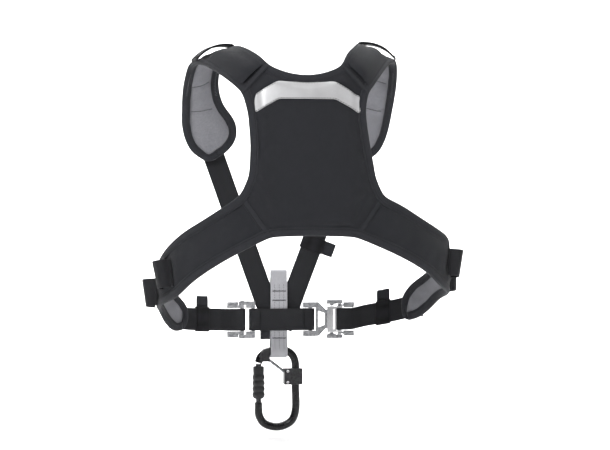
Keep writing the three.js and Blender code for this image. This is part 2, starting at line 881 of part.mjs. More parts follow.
// Webbing loops that bow off the outer face of the wings.
function addToolLoops() {
  const t = toolLoop;
  const flush = layer.wingHalf + t.gap + t.thick / 2;
  const bow = [[0.12, 0.6], [0.32, 1], [0.68, 1], [0.88, 0.6]].map(([share, lift]) => (
    [t.lap + (t.span - 2 * t.lap) * share, lift * t.rise]));
  const profile = [[0, 0], [t.lap, 0], ...bow, [t.span - t.lap, 0], [t.span, 0]];
  for (const item of toolLoops) {
    const middle = radians(item.angle);
    const stretch = Math.hypot(reachOf(item.side) * Math.cos(middle),
      torso.depth * Math.sin(middle));
    const points = profile.map(([s, lift]) => {
      const away = s - t.span / 2;
      const angle = item.angle + THREE.MathUtils.radToDeg(away / stretch);
      return wingPoint(item.side, angle, item.z - away * t.slope)
        .addScaledVector(wingNormal(item.side, angle), flush + lift);
    });
    const run = points.at(-1).clone().sub(points[0]).normalize();
    const wide = wingNormal(item.side, item.angle).cross(run).normalize();
    const stations = points.map((at, i) => {
      const before = points[Math.max(i - 1, 0)];
      const after = points[Math.min(i + 1, points.length - 1)];
      return { at, wide, out: wide.clone().cross(after.clone().sub(before)).normalize() };
    });
    add(item.name, webbingSolid(stations, t.width, t.thick), 'webbing');
  }
}

// ------------------------------------------------------ webbing in front

function addBelts() {
  const left = webbingSolid(foldedBelt(beltLeftPath, 3), webbing.width, webbing.thick);
  const right = webbingSolid(foldedBelt(beltRightPath, 3), webbing.width, webbing.thick);
  add('belt_webbing_left', left, 'webbing');
  add('belt_webbing_right', right, 'webbing');
  const band = stadium(belt.bandLeft, belt.bandRight, belt.y, belt.z, belt.bandHalfGap, 8);
  add('centre_band', webbingSolid(band, webbing.width, webbing.thick, true), 'webbing');
}

// Centre line of a diagonal strap at a height; side is -1 left and 1 right.
function diagonalPoint(side, z) {
  const [topX, topY, topZ] = diagonal.top;
  const leftX = topX + (topZ - z) * diagonal.slope;
  const x = diagonal.centreX + side * (diagonal.centreX - leftX);
  const y = lookUp([[diagonal.levelZ, side < 0 ? diagonal.leftY : diagonal.rightY],
    [diagonal.bendZ, diagonal.bendY], [topZ, topY]], Math.max(z, diagonal.levelZ));
  return vec(x, y, z);
}

function diagonalWide(side) {
  return vec(1, 0, -side * diagonal.slope).normalize();
}

function addDiagonals() {
  const lapZ = diagonal.top[2] + diagonal.lap;
  const heights = [lapZ, diagonal.top[2], diagonal.bendZ, diagonal.levelZ, diagonal.endZ];
  for (const [name, side] of [['left', -1], ['right', 1]]) {
    const points = heights.map((z) => diagonalPoint(side, z));
    const stations = points.map((at, i) => {
      const way = points[Math.min(i + 1, points.length - 1)].clone()
        .sub(points[Math.max(i - 1, 0)]).normalize();
      const wide = diagonalWide(side);
      return { at, wide, out: wide.clone().cross(way).normalize() };
    });
    add(`diagonal_webbing_${name}`, webbingSolid(stations, diagonal.width, webbing.thick),
      'webbing');
  }
}

// Elastic ring round a strap, with the sewn tab that stands past its edge.
function keeperSolid(at, way, wide, out, width, stack) {
  const half = { w: width / 2 + keeper.gap, t: stack / 2 + keeper.gap };
  const ring = (grow, along) => [[-1, -1], [1, -1], [1, 1], [-1, 1]].map(([w, t]) => (
    at.clone().addScaledVector(way, along).addScaledVector(wide, w * (half.w + grow))
      .addScaledVector(out, t * (half.t + grow))));
  const reach = keeper.length / 2;
  const outside = loft([ring(keeper.wall, -reach), ring(keeper.wall, reach)]);
  const hole = loft([ring(0, -reach - 1), ring(0, reach + 1)]);
  const tab = [-reach, reach].map((along) => {
    const low = half.w + keeper.wall / 2;
    const high = half.w + keeper.tab;
    return [[low, -1], [high, -1], [high, 1], [low, 1]].map(([w, t]) => (
      at.clone().addScaledVector(way, along).addScaledVector(wide, w)
        .addScaledVector(out, t * keeper.tabHalf)));
  });
  return join(cut(outside, hole), loft(tab));
}

function addKeepers() {
  const stack = 2 * belt.layerHalf + webbing.thick;
  const up = vec(0, 0, 1);
  for (const [name, path] of [['left', beltLeftPath], ['right', beltRightPath]]) {
    const place = keeperPlaces[name];
    const from = vec(...path[place.from]);
    const to = vec(...path[place.to]);
    const at = blend(from, to, place.share);
    at.z += belt.z;
    const way = to.clone().sub(from).normalize();
    const out = up.clone().cross(way.clone().setZ(0).normalize());
    add(`belt_keeper_${name}`, keeperSolid(at, way, up, out, webbing.width, stack), 'webbing');
  }
  const low = diagonalPoint(1, 40);
  const high = diagonalPoint(1, 120);
  const way = high.clone().sub(low).normalize();
  const wide = diagonalWide(1);
  const out = wide.clone().cross(way).normalize();
  const at = blend(low, high, (keeperPlaces.strapZ - 40) / 80);
  add('strap_keeper', keeperSolid(at, way, wide, out, diagonal.width, webbing.thick), 'webbing');
}

function addAttachmentLoop() {
  const points = [];
  const steps = 10;
  for (let k = 0; k <= steps; k += 1) {
    const a = radians(180 + 180 * k / steps);
    points.push([loop.bightY + loop.bightRadius * Math.cos(a),
      loop.bightZ + loop.bightRadius * Math.sin(a)]);
  }
  const near = loop.bightY - loop.pinchHalf;
  const far = loop.bightY + loop.pinchHalf;
  const turnZ = loop.topZ - loop.thick / 2 - loop.pinchHalf;
  points.push([loop.frontY, loop.bightZ + loop.gather], [loop.frontY, loop.pinchFrom],
    [far, loop.pinchTo], [far, turnZ], [loop.bightY, turnZ + loop.pinchHalf], [near, turnZ],
    [near, loop.pinchTo], [loop.backY, loop.pinchFrom], [loop.backY, loop.bightZ + loop.gather]);
  const count = points.length;
  const stations = points.map(([y, z], i) => {
    const [y0, z0] = points[(i + count - 1) % count];
    const [y1, z1] = points[(i + 1) % count];
    const way = vec(0, y1 - y0, z1 - z0).normalize();
    return { at: vec(loop.x, y, z), wide: vec(1, 0, 0), out: vec(0, way.z, -way.y) };
  });
  add('attachment_loop', webbingSolid(stations, loop.width, loop.thick, true), 'greyWebbing');
}

function addLabel() {
  add('size_label', box(label.x0, label.x1, label.y0, label.y1, label.z0, label.z1), 'tape');
}

// ---------------------------------------------------------- chest buckles

// The same box above and below the belt's mid-height.
function boxPair(x0, x1, y0, y1, z0, z1) {
  const y = belt.y;
  return [box(x0, x1, y + y0, y + y1, belt.z + z0, belt.z + z1),
    box(x0, x1, y + y0, y + y1, belt.z - z1, belt.z - z0)];
}

const crossBar = (x, half) => upright(x, belt.y, belt.z - half, belt.z + half, bar.radius);
const crossHole = (x, half) => upright(x, belt.y, belt.z - half, belt.z + half,
  bar.radius + play);

function addAdjuster() {
  const d = adjuster.halfDepth;
  const cheeks = boxPair(adjuster.left, adjuster.stepX, -d, d, adjuster.inside, adjuster.top);
  const ends = boxPair(adjuster.stepX - 1, adjuster.right, -d, adjuster.stepFront,
    adjuster.inside, adjuster.top);
  const frame = join(...cheeks, ...ends, crossBar(belt.bandLeft, adjuster.barHalf));
  const recess = boxPair(adjuster.left - 1, adjuster.recessRight, -d - 1, d + 1,
    adjuster.inside - 1, adjuster.armTop + play);
  add('adjuster_frame', cut(frame, ...recess, crossHole(belt.barLeft, adjuster.top + 1)), 'satin');
  const a = adjuster.armHalfDepth;
  const arms = boxPair(adjuster.armLeft, adjuster.armRight, -a, a, adjuster.inside, adjuster.armTop);
  add('adjuster_rocker', join(crossBar(belt.barLeft, adjuster.top), ...arms), 'satin');
}

function addTongue() {
  const t = tongue;
  const d = t.halfDepth;
  const cheeks = boxPair(t.left, t.right, -d, d, t.inside, t.top);
  const at = (outline) => outline.map(([x, z]) => [x, z + belt.z]);
  const nose = plate(at([[t.right - 0.4, -t.top], [t.shoulder, -t.top], [t.neck, -t.tipHalf],
    [t.tip, -t.tipHalf], [t.tip, t.tipHalf], [t.neck, t.tipHalf], [t.shoulder, t.top],
    [t.right - 0.4, t.top]]), belt.y - t.plateHalf, belt.y + t.plateHalf);
  const window = plate(at([[t.windowLeft, -t.windowHalf], [t.windowRight, -t.windowTipHalf],
    [t.windowRight, t.windowTipHalf], [t.windowLeft, t.windowHalf]]), belt.y - d, belt.y + d);
  add('buckle_tongue', cut(join(nose, ...cheeks, crossBar(belt.bandRight, t.top - 1)), window),
    'satin');
}

function addReceiver() {
  const r = receiver;
  const wall = box(r.left, r.wallRight, belt.y + r.back, belt.y + r.wallFront,
    belt.z - r.inside - 1, belt.z + r.inside + 1);
  const slot = box(r.slotLeft, r.slotRight, belt.y + r.back - 1, belt.y + r.wallFront + 1,
    belt.z - r.slotHalf, belt.z + r.slotHalf);
  const cheeks = boxPair(r.left, r.right, r.back, r.front, r.inside, r.top);
  const stems = boxPair(release.stemLeft - play, release.stemRight + play,
    -release.stemHalf - play, release.stemHalf + play, r.inside - 2, r.top + 1);
  add('buckle_receiver', cut(join(wall, ...cheeks), slot, ...stems,
    crossHole(belt.barRight, r.top + 1)), 'steel');
  const links = boxPair(r.armLeft, r.tabLeft + 1, -3, 3, r.top + play, r.armTop);
  const tabs = boxPair(r.tabLeft, r.tabRight, -adjuster.armHalfDepth, adjuster.armHalfDepth,
    r.tabInside, r.tabTop);
  add('buckle_rocker', join(crossBar(belt.barRight, r.armTop), ...links, ...tabs), 'satin');
}

function addReleaseTabs() {
  const r = release;
  const d = r.halfDepth;
  const bodies = boxPair(r.left, r.stepX, -d, d, r.inside, r.top);
  const steps = boxPair(r.stepX - 1, r.right, -d, d, r.stepZ, r.top);
  const stems = boxPair(r.stemLeft, r.stemRight, -r.stemHalf, r.stemHalf, r.stemFoot,
    r.inside + 1);
  add('release_tab_top', join(bodies[0], steps[0], stems[0]), 'satin');
  add('release_tab_bottom', join(bodies[1], steps[1], stems[1]), 'satin');
}

// -------------------------------------------------------------- carabiner

function bowPoints() {
  const c = carabiner;
  const control = [[c.gateX, c.noseZ], [-36.9, -48.5], [-28, -42.2], [loop.x, c.topZ],
    [0, -41.8], [7.2, -49.5], [c.spineX, -59], [c.spineX, -64], [c.spineX, -88],
    [c.spineX, -120],
    [4.5, -133], [-7, -139.8], [-20, c.bottomZ], [-33, -135.5], [-39, -125],
    [c.gateX, c.slotFloorZ - 1]];
  const curve = new THREE.CatmullRomCurve3(control.map(([x, z]) => vec(x, loop.bightY, z)));
  return curve.getSpacedPoints(36);
}

function crossPin(x, z, radius, half, sides = 12) {
  const geometry = new THREE.CylinderGeometry(radius, radius, 2 * half, sides);
  return geometry.translate(x, loop.bightY, z);
}

function addCarabiner() {
  const c = carabiner;
  const y = loop.bightY;
  const bow = roundBar(bowPoints(), c.radius, 12);
  const ears = upright(c.gateX, y, c.slotFloorZ - 2, c.earTopZ, c.radius);
  const slot = box(c.gateX - 7, c.gateX + 7, y - c.slotHalf, y + c.slotHalf, c.slotFloorZ,
    c.earTopZ + 1);
  const pinHole = crossPin(c.gateX, c.hingeZ, c.pinRadius + c.clearance / 2, 9);
  add('carabiner_frame', cut(join(bow, ears), slot, pinHole), 'blackMetal');
  add('gate_pin', crossPin(c.gateX, c.hingeZ, c.pinRadius, c.radius - 0.2), 'satin');
  const body = upright(c.gateX, y, c.bodyFootZ, c.gateTopZ, c.gateRadius);
  const foot = box(c.gateX - c.footWidth, c.gateX + c.footWidth, y - c.footHalf,
    y + c.footHalf, c.footZ, c.bodyFootZ + 1);
  add('gate', cut(join(body, foot), crossPin(c.gateX, c.hingeZ, c.pinRadius + c.clearance, 9)),
    'blackMetal');
  add('sleeve_guide', tube(c.gateX, y, c.sleeveFootZ + 2, c.sleeveTopZ - 1, c.sliderRadius,
    c.gateRadius + c.clearance, 16), 'blackMetal');
  add('lock_sleeve', tube(c.gateX, y, c.sleeveFootZ, c.sleeveTopZ, c.sleeveRadius,
    c.sliderRadius + c.clearance, 20), 'blackMetal');
}

function addPositioner() {
  const p = positioner;
  const c = carabiner;
  const y = loop.bightY;
  const [x0, z0] = p.rodFrom;
  const [x1, z1] = p.rodTo;
  const rodPoints = [vec(x0, y, z0), vec(x1, y, z1)];
  const rodHole = roundBar([vec(x0 + 0.5, y, z0 - 0.4), vec(x1 - 0.5, y, z1 + 0.4)],
    p.rodRadius + c.clearance, 10);
  add('positioning_rod', roundBar(rodPoints, p.rodRadius, 10), 'greyRod');
  const spine = upright(c.spineX, y, p.clampFootZ - 1, p.clampTopZ + 1,
    (c.radius + c.clearance) / Math.cos(Math.PI / bar.sides));
  for (const [name, y0, y1] of [['back', -p.halfDepth, -p.split], ['front', p.split, p.halfDepth]]) {
    const block = box(p.clampLeft, p.clampRight, y + y0, y + y1, p.clampFootZ, p.clampTopZ);
    const holes = p.screwZ.map((z) => crossPin(p.screwX, z, p.screwRadius + c.clearance, 10));
    const sinks = p.screwZ.map((z) => crossPin(p.screwX, z, p.screwHead + c.clearance, 10)
      .translate(0, -10 - p.halfDepth + p.headDepth, 0));
    const tools = name === 'back' ? [...holes, ...sinks] : holes;
    add(`clamp_${name}`, cut(block, spine, rodHole, ...tools), 'blackPlastic');
  }
  const screwHalf = p.halfDepth - 0.6;
  p.screwZ.forEach((z, i) => {
    const shank = crossPin(p.screwX, z, p.screwRadius, screwHalf);
    const head = crossPin(p.screwX, z, p.screwHead, p.headDepth / 2 - 0.1)
      .translate(0, -p.halfDepth + p.headDepth / 2, 0);
    add(`clamp_screw_${i === 0 ? 'upper' : 'lower'}`, join(shank, head), 'steel');
  });
  const bow = roundBar(bowPoints(), c.radius + c.clearance, 12);
  const clip = plate(p.clipOutline, y - p.clipHalf, y + p.clipHalf);
  add('nose_clip', cut(clip, bow, rodHole), 'blackPlastic');
}

addPanels();
addBindings();
addReflector();
addBridges();
addToolLoops();
addBelts();
addDiagonals();
addKeepers();
addAttachmentLoop();
addLabel();
addAdjuster();
addTongue();
addReceiver();
addReleaseTabs();
addCarabiner();
addPositioner();

export default group;
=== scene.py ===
"""Looks of a safety harness vest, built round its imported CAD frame.

Metres. +Z is up, +Y the wearer's front, +X the wearer's right. The origin is on
the torso axis at the height of the chest belt.
"""

import json
import math

import bmesh
import bpy
import numpy as np
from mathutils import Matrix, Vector
from mathutils.bvhtree import BVHTree


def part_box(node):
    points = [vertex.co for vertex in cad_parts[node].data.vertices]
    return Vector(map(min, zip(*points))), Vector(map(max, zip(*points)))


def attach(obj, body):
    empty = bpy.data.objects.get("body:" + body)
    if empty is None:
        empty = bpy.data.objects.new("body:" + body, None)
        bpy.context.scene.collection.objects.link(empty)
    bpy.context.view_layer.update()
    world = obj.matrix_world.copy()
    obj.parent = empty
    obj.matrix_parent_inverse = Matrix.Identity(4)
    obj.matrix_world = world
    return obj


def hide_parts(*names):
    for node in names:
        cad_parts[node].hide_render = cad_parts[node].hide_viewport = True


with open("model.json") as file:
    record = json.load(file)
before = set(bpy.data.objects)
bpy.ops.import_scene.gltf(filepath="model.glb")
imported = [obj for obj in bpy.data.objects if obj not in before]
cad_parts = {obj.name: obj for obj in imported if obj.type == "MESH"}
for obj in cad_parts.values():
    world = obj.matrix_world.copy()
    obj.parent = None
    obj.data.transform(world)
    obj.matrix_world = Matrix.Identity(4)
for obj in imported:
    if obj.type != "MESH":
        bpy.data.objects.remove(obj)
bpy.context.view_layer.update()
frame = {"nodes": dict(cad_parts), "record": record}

# ------------------------------------------------------------------ sizes

TORSO_REACH_LEFT = 0.177
TORSO_REACH_RIGHT = 0.186
TORSO_DEPTH = 0.115
LEAN = 0.017
LEAN_FROM, LEAN_TO = 0.130, 0.300
SWAY = -0.007
SWAY_FROM, SWAY_TO = 0.180, 0.290
TILT = 0.0025                # one shoulder sits above the middle, the other below
TILT_FROM, TILT_TO = 0.280, 0.330

EDGE_HALF = 0.00165          # half-thickness of the laminate at a sewn edge
BACK_HALF = 0.0042           # half-thickness where the foam is full
STRAP_HALF = 0.0050
WING_HALF = 0.0040
PAD_START = 0.86             # share of the full foam before it is inflated
EDGE_INSET = 0.0022          # cloth edge to the inside of the binding fold
SEAM_INSET = 0.0002
FLAT_MARGIN = 0.008
FOAM_RAMP = 0.022            # distance from an edge where the foam is full
PUFF_LIMIT = 0.006           # furthest a cloth point may move
PUFF_FRAMES = 20
PUFF_SETTINGS = {
    "vertex_group_mass": "sewn",
    "use_pressure": True,
    "uniform_pressure_force": 4,
    "mass": 0.2,
    "quality": 5,
    "tension_stiffness": 25,
    "compression_stiffness": 25,
    "shear_stiffness": 8,
    "bending_stiffness": 0.2,
    "shrink_min": -0.035,
}
SKIN_LIMIT = 0.0009          # furthest a pad may stand past its CAD face

PANEL_CORNER = 0.6           # share of the half-width where hem and neck end
PANEL_HALF_WIDTHS = [(0, 0.085), (0.25, 0.0755), (0.5, 0.071), (0.7, 0.070),
                     (0.85, 0.072), (1, 0.075)]
HEM_Z, HEM_CORNER_Z, WING_TOP_Z = 0.113, 0.1115, 0.160
NECK_Z, NECK_CORNER_Z, ARMHOLE_TOP_Z = 0.3035, 0.316, 0.283
PANEL_MARGIN, PANEL_FULL = 0.012, 0.021

# Shoulder strap edges from the seam over the top to the rounded end, for the
# wearer's right: inner x, y, z, outer x, y, z.
STRAP_RAILS = [
    (0.0510, -0.0845, 0.3270, 0.0860, -0.0800, 0.2950),
    (0.0660, -0.0550, 0.3410, 0.1010, -0.0540, 0.3110),
    (0.0750, -0.0180, 0.3470, 0.1190, -0.0180, 0.3260),
    (0.0820, 0.0120, 0.3440, 0.1310, 0.0100, 0.3270),
    (0.0900, 0.0340, 0.3300, 0.1355, 0.0320, 0.3090),
    (0.0920, 0.0500, 0.3050, 0.1370, 0.0520, 0.2920),
    (0.0850, 0.0660, 0.2810, 0.1365, 0.0700, 0.2720),
    (0.0670, 0.0820, 0.2580, 0.1355, 0.0850, 0.2540),
    (0.0655, 0.0890, 0.2380, 0.1310, 0.0910, 0.2360),
    (0.0770, 0.0930, 0.2210, 0.1220, 0.0930, 0.2200),
    (0.0910, 0.0950, 0.2123, 0.1090, 0.0950, 0.2115),
]
STRAP_END_BOW = 0.005
STRAP_GROOVES = [0.168, 0.209]   # sewn channels in the lining, from the seam
GROOVE_DEPTH = 0.0016
GROOVE_WIDTH = 0.0032
GROOVE_THREAD_SPAN = (0.2, 0.72)   # shares of the pad's width that its thread crosses

# Wing edges: upper and lower angle round the torso, 0 at the spine; upper and
# lower height on the right, then on the left.
WING_RAILS = [
    (36, 28, 0.1490, 0.0970, 0.1470, 0.0950),
    (47, 40, 0.1340, 0.0826, 0.1300, 0.0770),
    (58, 52, 0.1225, 0.0676, 0.1160, 0.0580),
    (70, 64, 0.1135, 0.0510, 0.0995, 0.0380),
    (83, 77, 0.1030, 0.0420, 0.0820, 0.0300),
    (95, 90, 0.0870, 0.0370, 0.0660, 0.0240),
    (106, 102, 0.0740, 0.0310, 0.0560, 0.0170),
    (116, 112, 0.0600, 0.0160, 0.0460, 0.0000),
    (124, 121, 0.0480, 0.0040, 0.0320, -0.0100),
    (129, 128, 0.0330, 0.0010, 0.0220, -0.0060),
]
WING_END_BOW = 0.003
END_BOW_REACH = 0.016        # length over which an end rounds off

TAPE_LEG = 0.0100            # how far the binding reaches over each face
TAPE_THICK = 0.0009
TAPE_STITCH_AT = 0.0078
SEAM_TAPE_HALF = 0.0042

# The reflective band: distance from the spine, lower and upper edge height.
REFLECTOR_STATIONS = [(0, 0.2735, 0.2945), (0.033, 0.2735, 0.2960), (0.060, 0.2585, 0.2800)]
REFLECTOR_FROM_X, REFLECTOR_TO_X = -0.062, 0.064
REFLECTOR_SIDE, REFLECTOR_NECK_REACH = 0.071, 0.075   # panel half-widths beside it
REFLECTOR_LIFT = 0.0012
REFLECTOR_THICK = 0.0005

WEB_WIDTH = 0.029
WEB_THICK = 0.0018
BELT_Z = 0.001
BELT_Y = 0.1169
BAND_HALF_GAP = 0.0049
BAND_LEFT, BAND_RIGHT = -0.047, 0.0291
WRAP_RADIUS = 0.0036
LAYER_HALF = 0.00115
CONVERGE = 0.016
RIBS_FROM, RIBS_TO, RIB_PITCH = 0.009, 0.030, 0.0026
BELT_LEFT_PATH = [(-0.0614, 0.1169, 0), (-0.078, 0.1144, 0), (-0.094, 0.1078, 0.001),
                  (-0.134, 0.0838, 0.0035), (-0.1465, 0.075, 0.0055),
                  (-0.1525, 0.0695, 0.0065), (-0.1616, 0.0586, 0.008)]
BELT_RIGHT_PATH = [(0.068, 0.1169, 0), (0.084, 0.1146, 0.0004), (0.100, 0.1076, 0.0045),
                   (0.138, 0.0845, 0.013), (0.150, 0.0768, 0.0165),
                   (0.1583, 0.0706, 0.0185), (0.1696, 0.0588, 0.020)]

DIAGONAL_TOP = (-0.0975, 0.1025, 0.208)
DIAGONAL_LAP = 0.030
DIAGONAL_SLOPE = 0.364
DIAGONAL_WIDTH = 0.028
DIAGONAL_LEFT_Y, DIAGONAL_RIGHT_Y = 0.117, 0.1194
DIAGONAL_CENTRE_X = -0.0133
DIAGONAL_BEND = (0.120, 0.111)
DIAGONAL_LEVEL_Z, DIAGONAL_END_Z = 0.040, -0.011

KEEPER_LENGTH = 0.019
KEEPER_WALL = 0.0014
KEEPER_GAP = 0.00035
KEEPER_TAB = 0.0155
PLATE_GAP, PLATE_INSET, PLATE_ROUND = 0.0008, 0.0008, 0.0009
LEVER_PLATE_HALF, KEY_PLATE_HALF = 0.0017, 0.0018
LEVER_PLATES = [("adjuster", "adjuster_rocker", -0.0815, -0.0668),
                ("receiver", "buckle_rocker", 0.0735, 0.0874)]
KEY_PLATE = (0.0600, 0.0722, 0.0215, 0.0262)   # x, and height off the belt's middle
BAR_ENDS = [("adjuster", "adjuster_rocker", -0.0614, 0.0243),
            ("receiver", "buckle_rocker", 0.068, 0.0196)]
KEEPER_SHARES = {"left": 0.55, "right": 0.6}
STRAP_KEEPER_Z = 0.101

LOOP_X, LOOP_WIDTH, LOOP_THICK = -0.013, 0.0224, 0.0022
LOOP_TOP_Z, LOOP_BACK_Y, LOOP_FRONT_Y = 0.0665, 0.1145, 0.1243
BIGHT_Y, BIGHT_Z, BIGHT_RADIUS = 0.1194, -0.0397, 0.0088
LOOP_GATHER, PINCH_FROM, PINCH_TO, PINCH_HALF = 0.020, 0.048, 0.058, 0.00135
BAR_TACK_HEIGHTS = [0.0385, 0.0262, -0.0235]

# Bands bowed out from the wings: side, angle round the torso, middle height.
TOOL_LOOPS = [
    ("tool_loop_rear_left", -1, 70, 0.066),
    ("tool_loop_front_left", -1, 88, 0.042),
    ("tool_loop_rear_right", 1, 76, 0.078),
    ("tool_loop_front_right", 1, 97, 0.058),
]
TOOL_LOOP_WIDTH, TOOL_LOOP_THICK, TOOL_LOOP_LAP = 0.034, 0.0016, 0.0035
TOOL_LOOP_SPAN, TOOL_LOOP_RISE, TOOL_LOOP_GAP, TOOL_LOOP_SLOPE = 0.025, 0.012, 0.0006, 0.2
TOOL_LOOP_LEAN = 0.13        # how far the bow leans out at its top, as a slope
BRIDGE_WIDTH, BRIDGE_THICK, BRIDGE_RISE, BRIDGE_LAP = 0.021, 0.0028, 0.0038, 0.001
BRIDGE_FOOT = 0.0038         # height of its ends over the strap's middle layer
BRIDGE_ROW, BRIDGE_STATIONS = 21, 33

CARABINER_BAR = 0.0053
GATE_X = -0.0396
BOW_PATH = [(-0.0396, -0.0561), (-0.0369, -0.0485), (-0.028, -0.0422), (-0.013, -0.0397),
            (0, -0.0418), (0.0072, -0.0495), (0.0095, -0.059), (0.0095, -0.064),
            (0.0095, -0.088), (0.0095, -0.120), (0.0045, -0.133), (-0.007, -0.1398),
            (-0.020, -0.1407), (-0.033, -0.1355), (-0.039, -0.125), (-0.0396, -0.1175)]
SLEEVE_RADIUS, SLEEVE_BORE = 0.0085, 0.0063
SLEEVE_TOP_Z, SLEEVE_FOOT_Z = -0.061, -0.103
SLEEVE_COLLAR, SLEEVE_GRIPS = 0.0095, 4
EAR_TOP_Z, EAR_FOOT_Z, EAR_SLOT_FLOOR_Z, EAR_SLOT_HALF = -0.1085, -0.1185, -0.1165, 0.0023

STITCH_PITCH = 0.0034
BAR_TACK = (0.0024, 0.0011)  # zigzag width and pitch
THREAD_RADIUS = 0.00032
ZIGZAG_FROM_Y, ZIGZAG_LOW, ZIGZAG_HIGH = 0.020, 0.291, 0.322

CAMERA_AZIMUTH = -8
CAMERA_DISTANCE = 2.0
CAMERA_LENS = 94.4
CAMERA_TARGET = (0.0056, 0, 0.1256)
FLOOR_Z = -0.155
FLOOR_BACK_Y, BACKDROP_BEND = 1.2, 1.2

LIGHT_CENTRE = (0, 0, 0.12)
# Name, place, point aimed at, size and watts.
LIGHTS = [
    ("key_light", (-1.1, -1.7, 1.5), LIGHT_CENTRE, (0.8, 0.6), 36),
    ("fill_light", (1.6, -1.3, 0.5), LIGHT_CENTRE, (1.2, 1.4), 6),
    ("top_light", (0.1, 0.3, 1.9), LIGHT_CENTRE, (1.2, 1.2), 20),
    ("front_light", (0.6, 1.9, 0.8), LIGHT_CENTRE, (1.2, 1.2), 8),
    ("backdrop_light", (0.0, 0.9, 1.6), (0, 2.4, 0.6), (2.6, 0.8), 120),
]
WORLD_STRENGTH = 0.17

# ----------------------------------------------------------- small helpers

UP = np.array((0.0, 0.0, 1.0))
BODY_OF = {
    node: body
    for body, nodes in frame["record"]["behaviour"]["bodies"].items()
    for node in nodes
}


def unit(v):
    v = np.asarray(v, float)
    return v / np.maximum(np.linalg.norm(v, axis=-1, keepdims=True), 1e-12)


def mix(a, b, t):
    return a + (b - a) * t


def smoothstep(value, start, end):
    t = np.clip((np.asarray(value, float) - start) / (end - start), 0, 1)
    return t * t * (3 - 2 * t)


def look_up(table, at):
    return float(np.interp(at, [row[0] for row in table], [row[1] for row in table]))


def smooth_rail(points, steps):
    """Points on a centripetal curve through the given ones, `steps` to a span."""
    p = np.array(points, float)
    p = np.vstack([2 * p[0] - p[1], p, 2 * p[-1] - p[-2]])
    knots = np.concatenate([[0], np.cumsum(np.sqrt(np.linalg.norm(np.diff(p, axis=0), axis=1)))])
    out = []
    for i in range(1, len(p) - 2):
        k0, k1, k2, k3 = knots[i - 1:i + 3]
        for t in np.linspace(k1, k2, steps, endpoint=False):
            a1 = mix(p[i - 1], p[i], (t - k0) / (k1 - k0))
            a2 = mix(p[i], p[i + 1], (t - k1) / (k2 - k1))
            a3 = mix(p[i + 1], p[i + 2], (t - k2) / (k3 - k2))
            b1 = mix(a1, a2, (t - k0) / (k2 - k0))
            b2 = mix(a2, a3, (t - k1) / (k3 - k1))
            out.append(mix(b1, b2, (t - k1) / (k2 - k1)))
    out.append(p[-2])
    return np.array(out)


def arc_lengths(points):
    return np.concatenate([[0], np.cumsum(np.linalg.norm(np.diff(points, axis=0), axis=-1))])


def stepped_ring(rows, spacing=0.003):
    """A closed run of points, with any values set beside them, in small steps."""
    rows = np.asarray(rows, float)
    out = []
    for here, there in zip(rows, np.roll(rows, -1, axis=0)):
        steps = max(1, int(np.linalg.norm(there[:3] - here[:3]) / spacing))
        out += [mix(here, there, t) for t in np.linspace(0, 1, steps, endpoint=False)]
    return np.array(out)


def even_rail(points, spacing):
    """The same polyline with points set evenly, about `spacing` apart."""
    points = np.asarray(points, float)
    along = arc_lengths(points)
    count = max(2, int(round(along[-1] / spacing)) + 1)
    at = np.linspace(0, along[-1], count)
    return np.column_stack([np.interp(at, along, points[:, k]) for k in range(3)])


def ripple(at, scale, seed):
    """A smooth irregular wave between -1 and 1, the same on every run."""
    at = np.asarray(at, float) / scale
    waves = np.sin(at * 6.1 + seed) + np.sin(at * 9.7 + 2.3 * seed) + np.sin(at * 3.3 + seed * 5.1)
    return waves / 3


def mesh_object(name, vertices, faces, uvs=None, materials=(), slots=None, smooth=True):
    """A mesh object from vertex places, faces, corner UVs and face materials."""
    mesh = bpy.data.meshes.new(name)
    mesh.from_pydata([tuple(v) for v in vertices], [], [tuple(f) for f in faces])
    if uvs is not None:
        layer = mesh.uv_layers.new(name="weave")
        layer.data.foreach_set("uv", np.asarray(uvs, np.float32).ravel())
    for material in materials:
        mesh.materials.append(material)
    if slots is not None:
        mesh.polygons.foreach_set("material_index", np.asarray(slots, np.int32))
    mesh.polygons.foreach_set("use_smooth", np.full(len(mesh.polygons), smooth))
    mesh.update()
    obj = bpy.data.objects.new(name, mesh)
    bpy.context.scene.collection.objects.link(obj)
    return obj


def face_outwards(obj):
    bm = bmesh.new()
    bm.from_mesh(obj.data)
    bmesh.ops.recalc_face_normals(bm, faces=bm.faces)
    bm.to_mesh(obj.data)
    bm.free()
    return obj


def plain_mesh(obj):
    """Applies every modifier and leaves a plain mesh."""
    graph = bpy.context.evaluated_depsgraph_get()
    mesh = bpy.data.meshes.new_from_object(obj.evaluated_get(graph))
    obj.modifiers.clear()
    old = obj.data
    obj.data = mesh
    mesh.name = old.name
    return obj


def subdivided(obj, levels=1):
    modifier = obj.modifiers.new("Smooth", "SUBSURF")
    modifier.levels = modifier.render_levels = levels
    return plain_mesh(obj)


def joined(parts, name):
    """Several objects made one, under the given name."""
    with bpy.context.temp_override(active_object=parts[0], selected_editable_objects=parts,
                                   object=parts[0], selected_objects=parts):
        if len(parts) > 1:
            bpy.ops.object.join()
    parts[0].name = name
    return parts[0]


def put(obj, slot, *nodes, body="harness"):
    """Sets the piece on its body, in place of its CAD nodes."""
    if nodes:
        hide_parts(*nodes)
        body = BODY_OF[nodes[0]]
    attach(obj, body)
    return obj


# --------------------------------------------------------------- materials


def add(tree, kind, inputs=None, **settings):
    """A node with its settings and inputs; an input is a value or a socket."""
    node = tree.nodes.new(kind)
    for key, value in settings.items():
        setattr(node, key, value)
    for key, value in (inputs or {}).items():
        if isinstance(value, bpy.types.NodeSocket):
            tree.links.new(value, node.inputs[key])
        else:
            node.inputs[key].default_value = value
    return node


def math_node(tree, operation, a, b=0.0, c=0.0):
    return add(tree, "ShaderNodeMath", {0: a, 1: b, 2: c}, operation=operation).outputs[0]


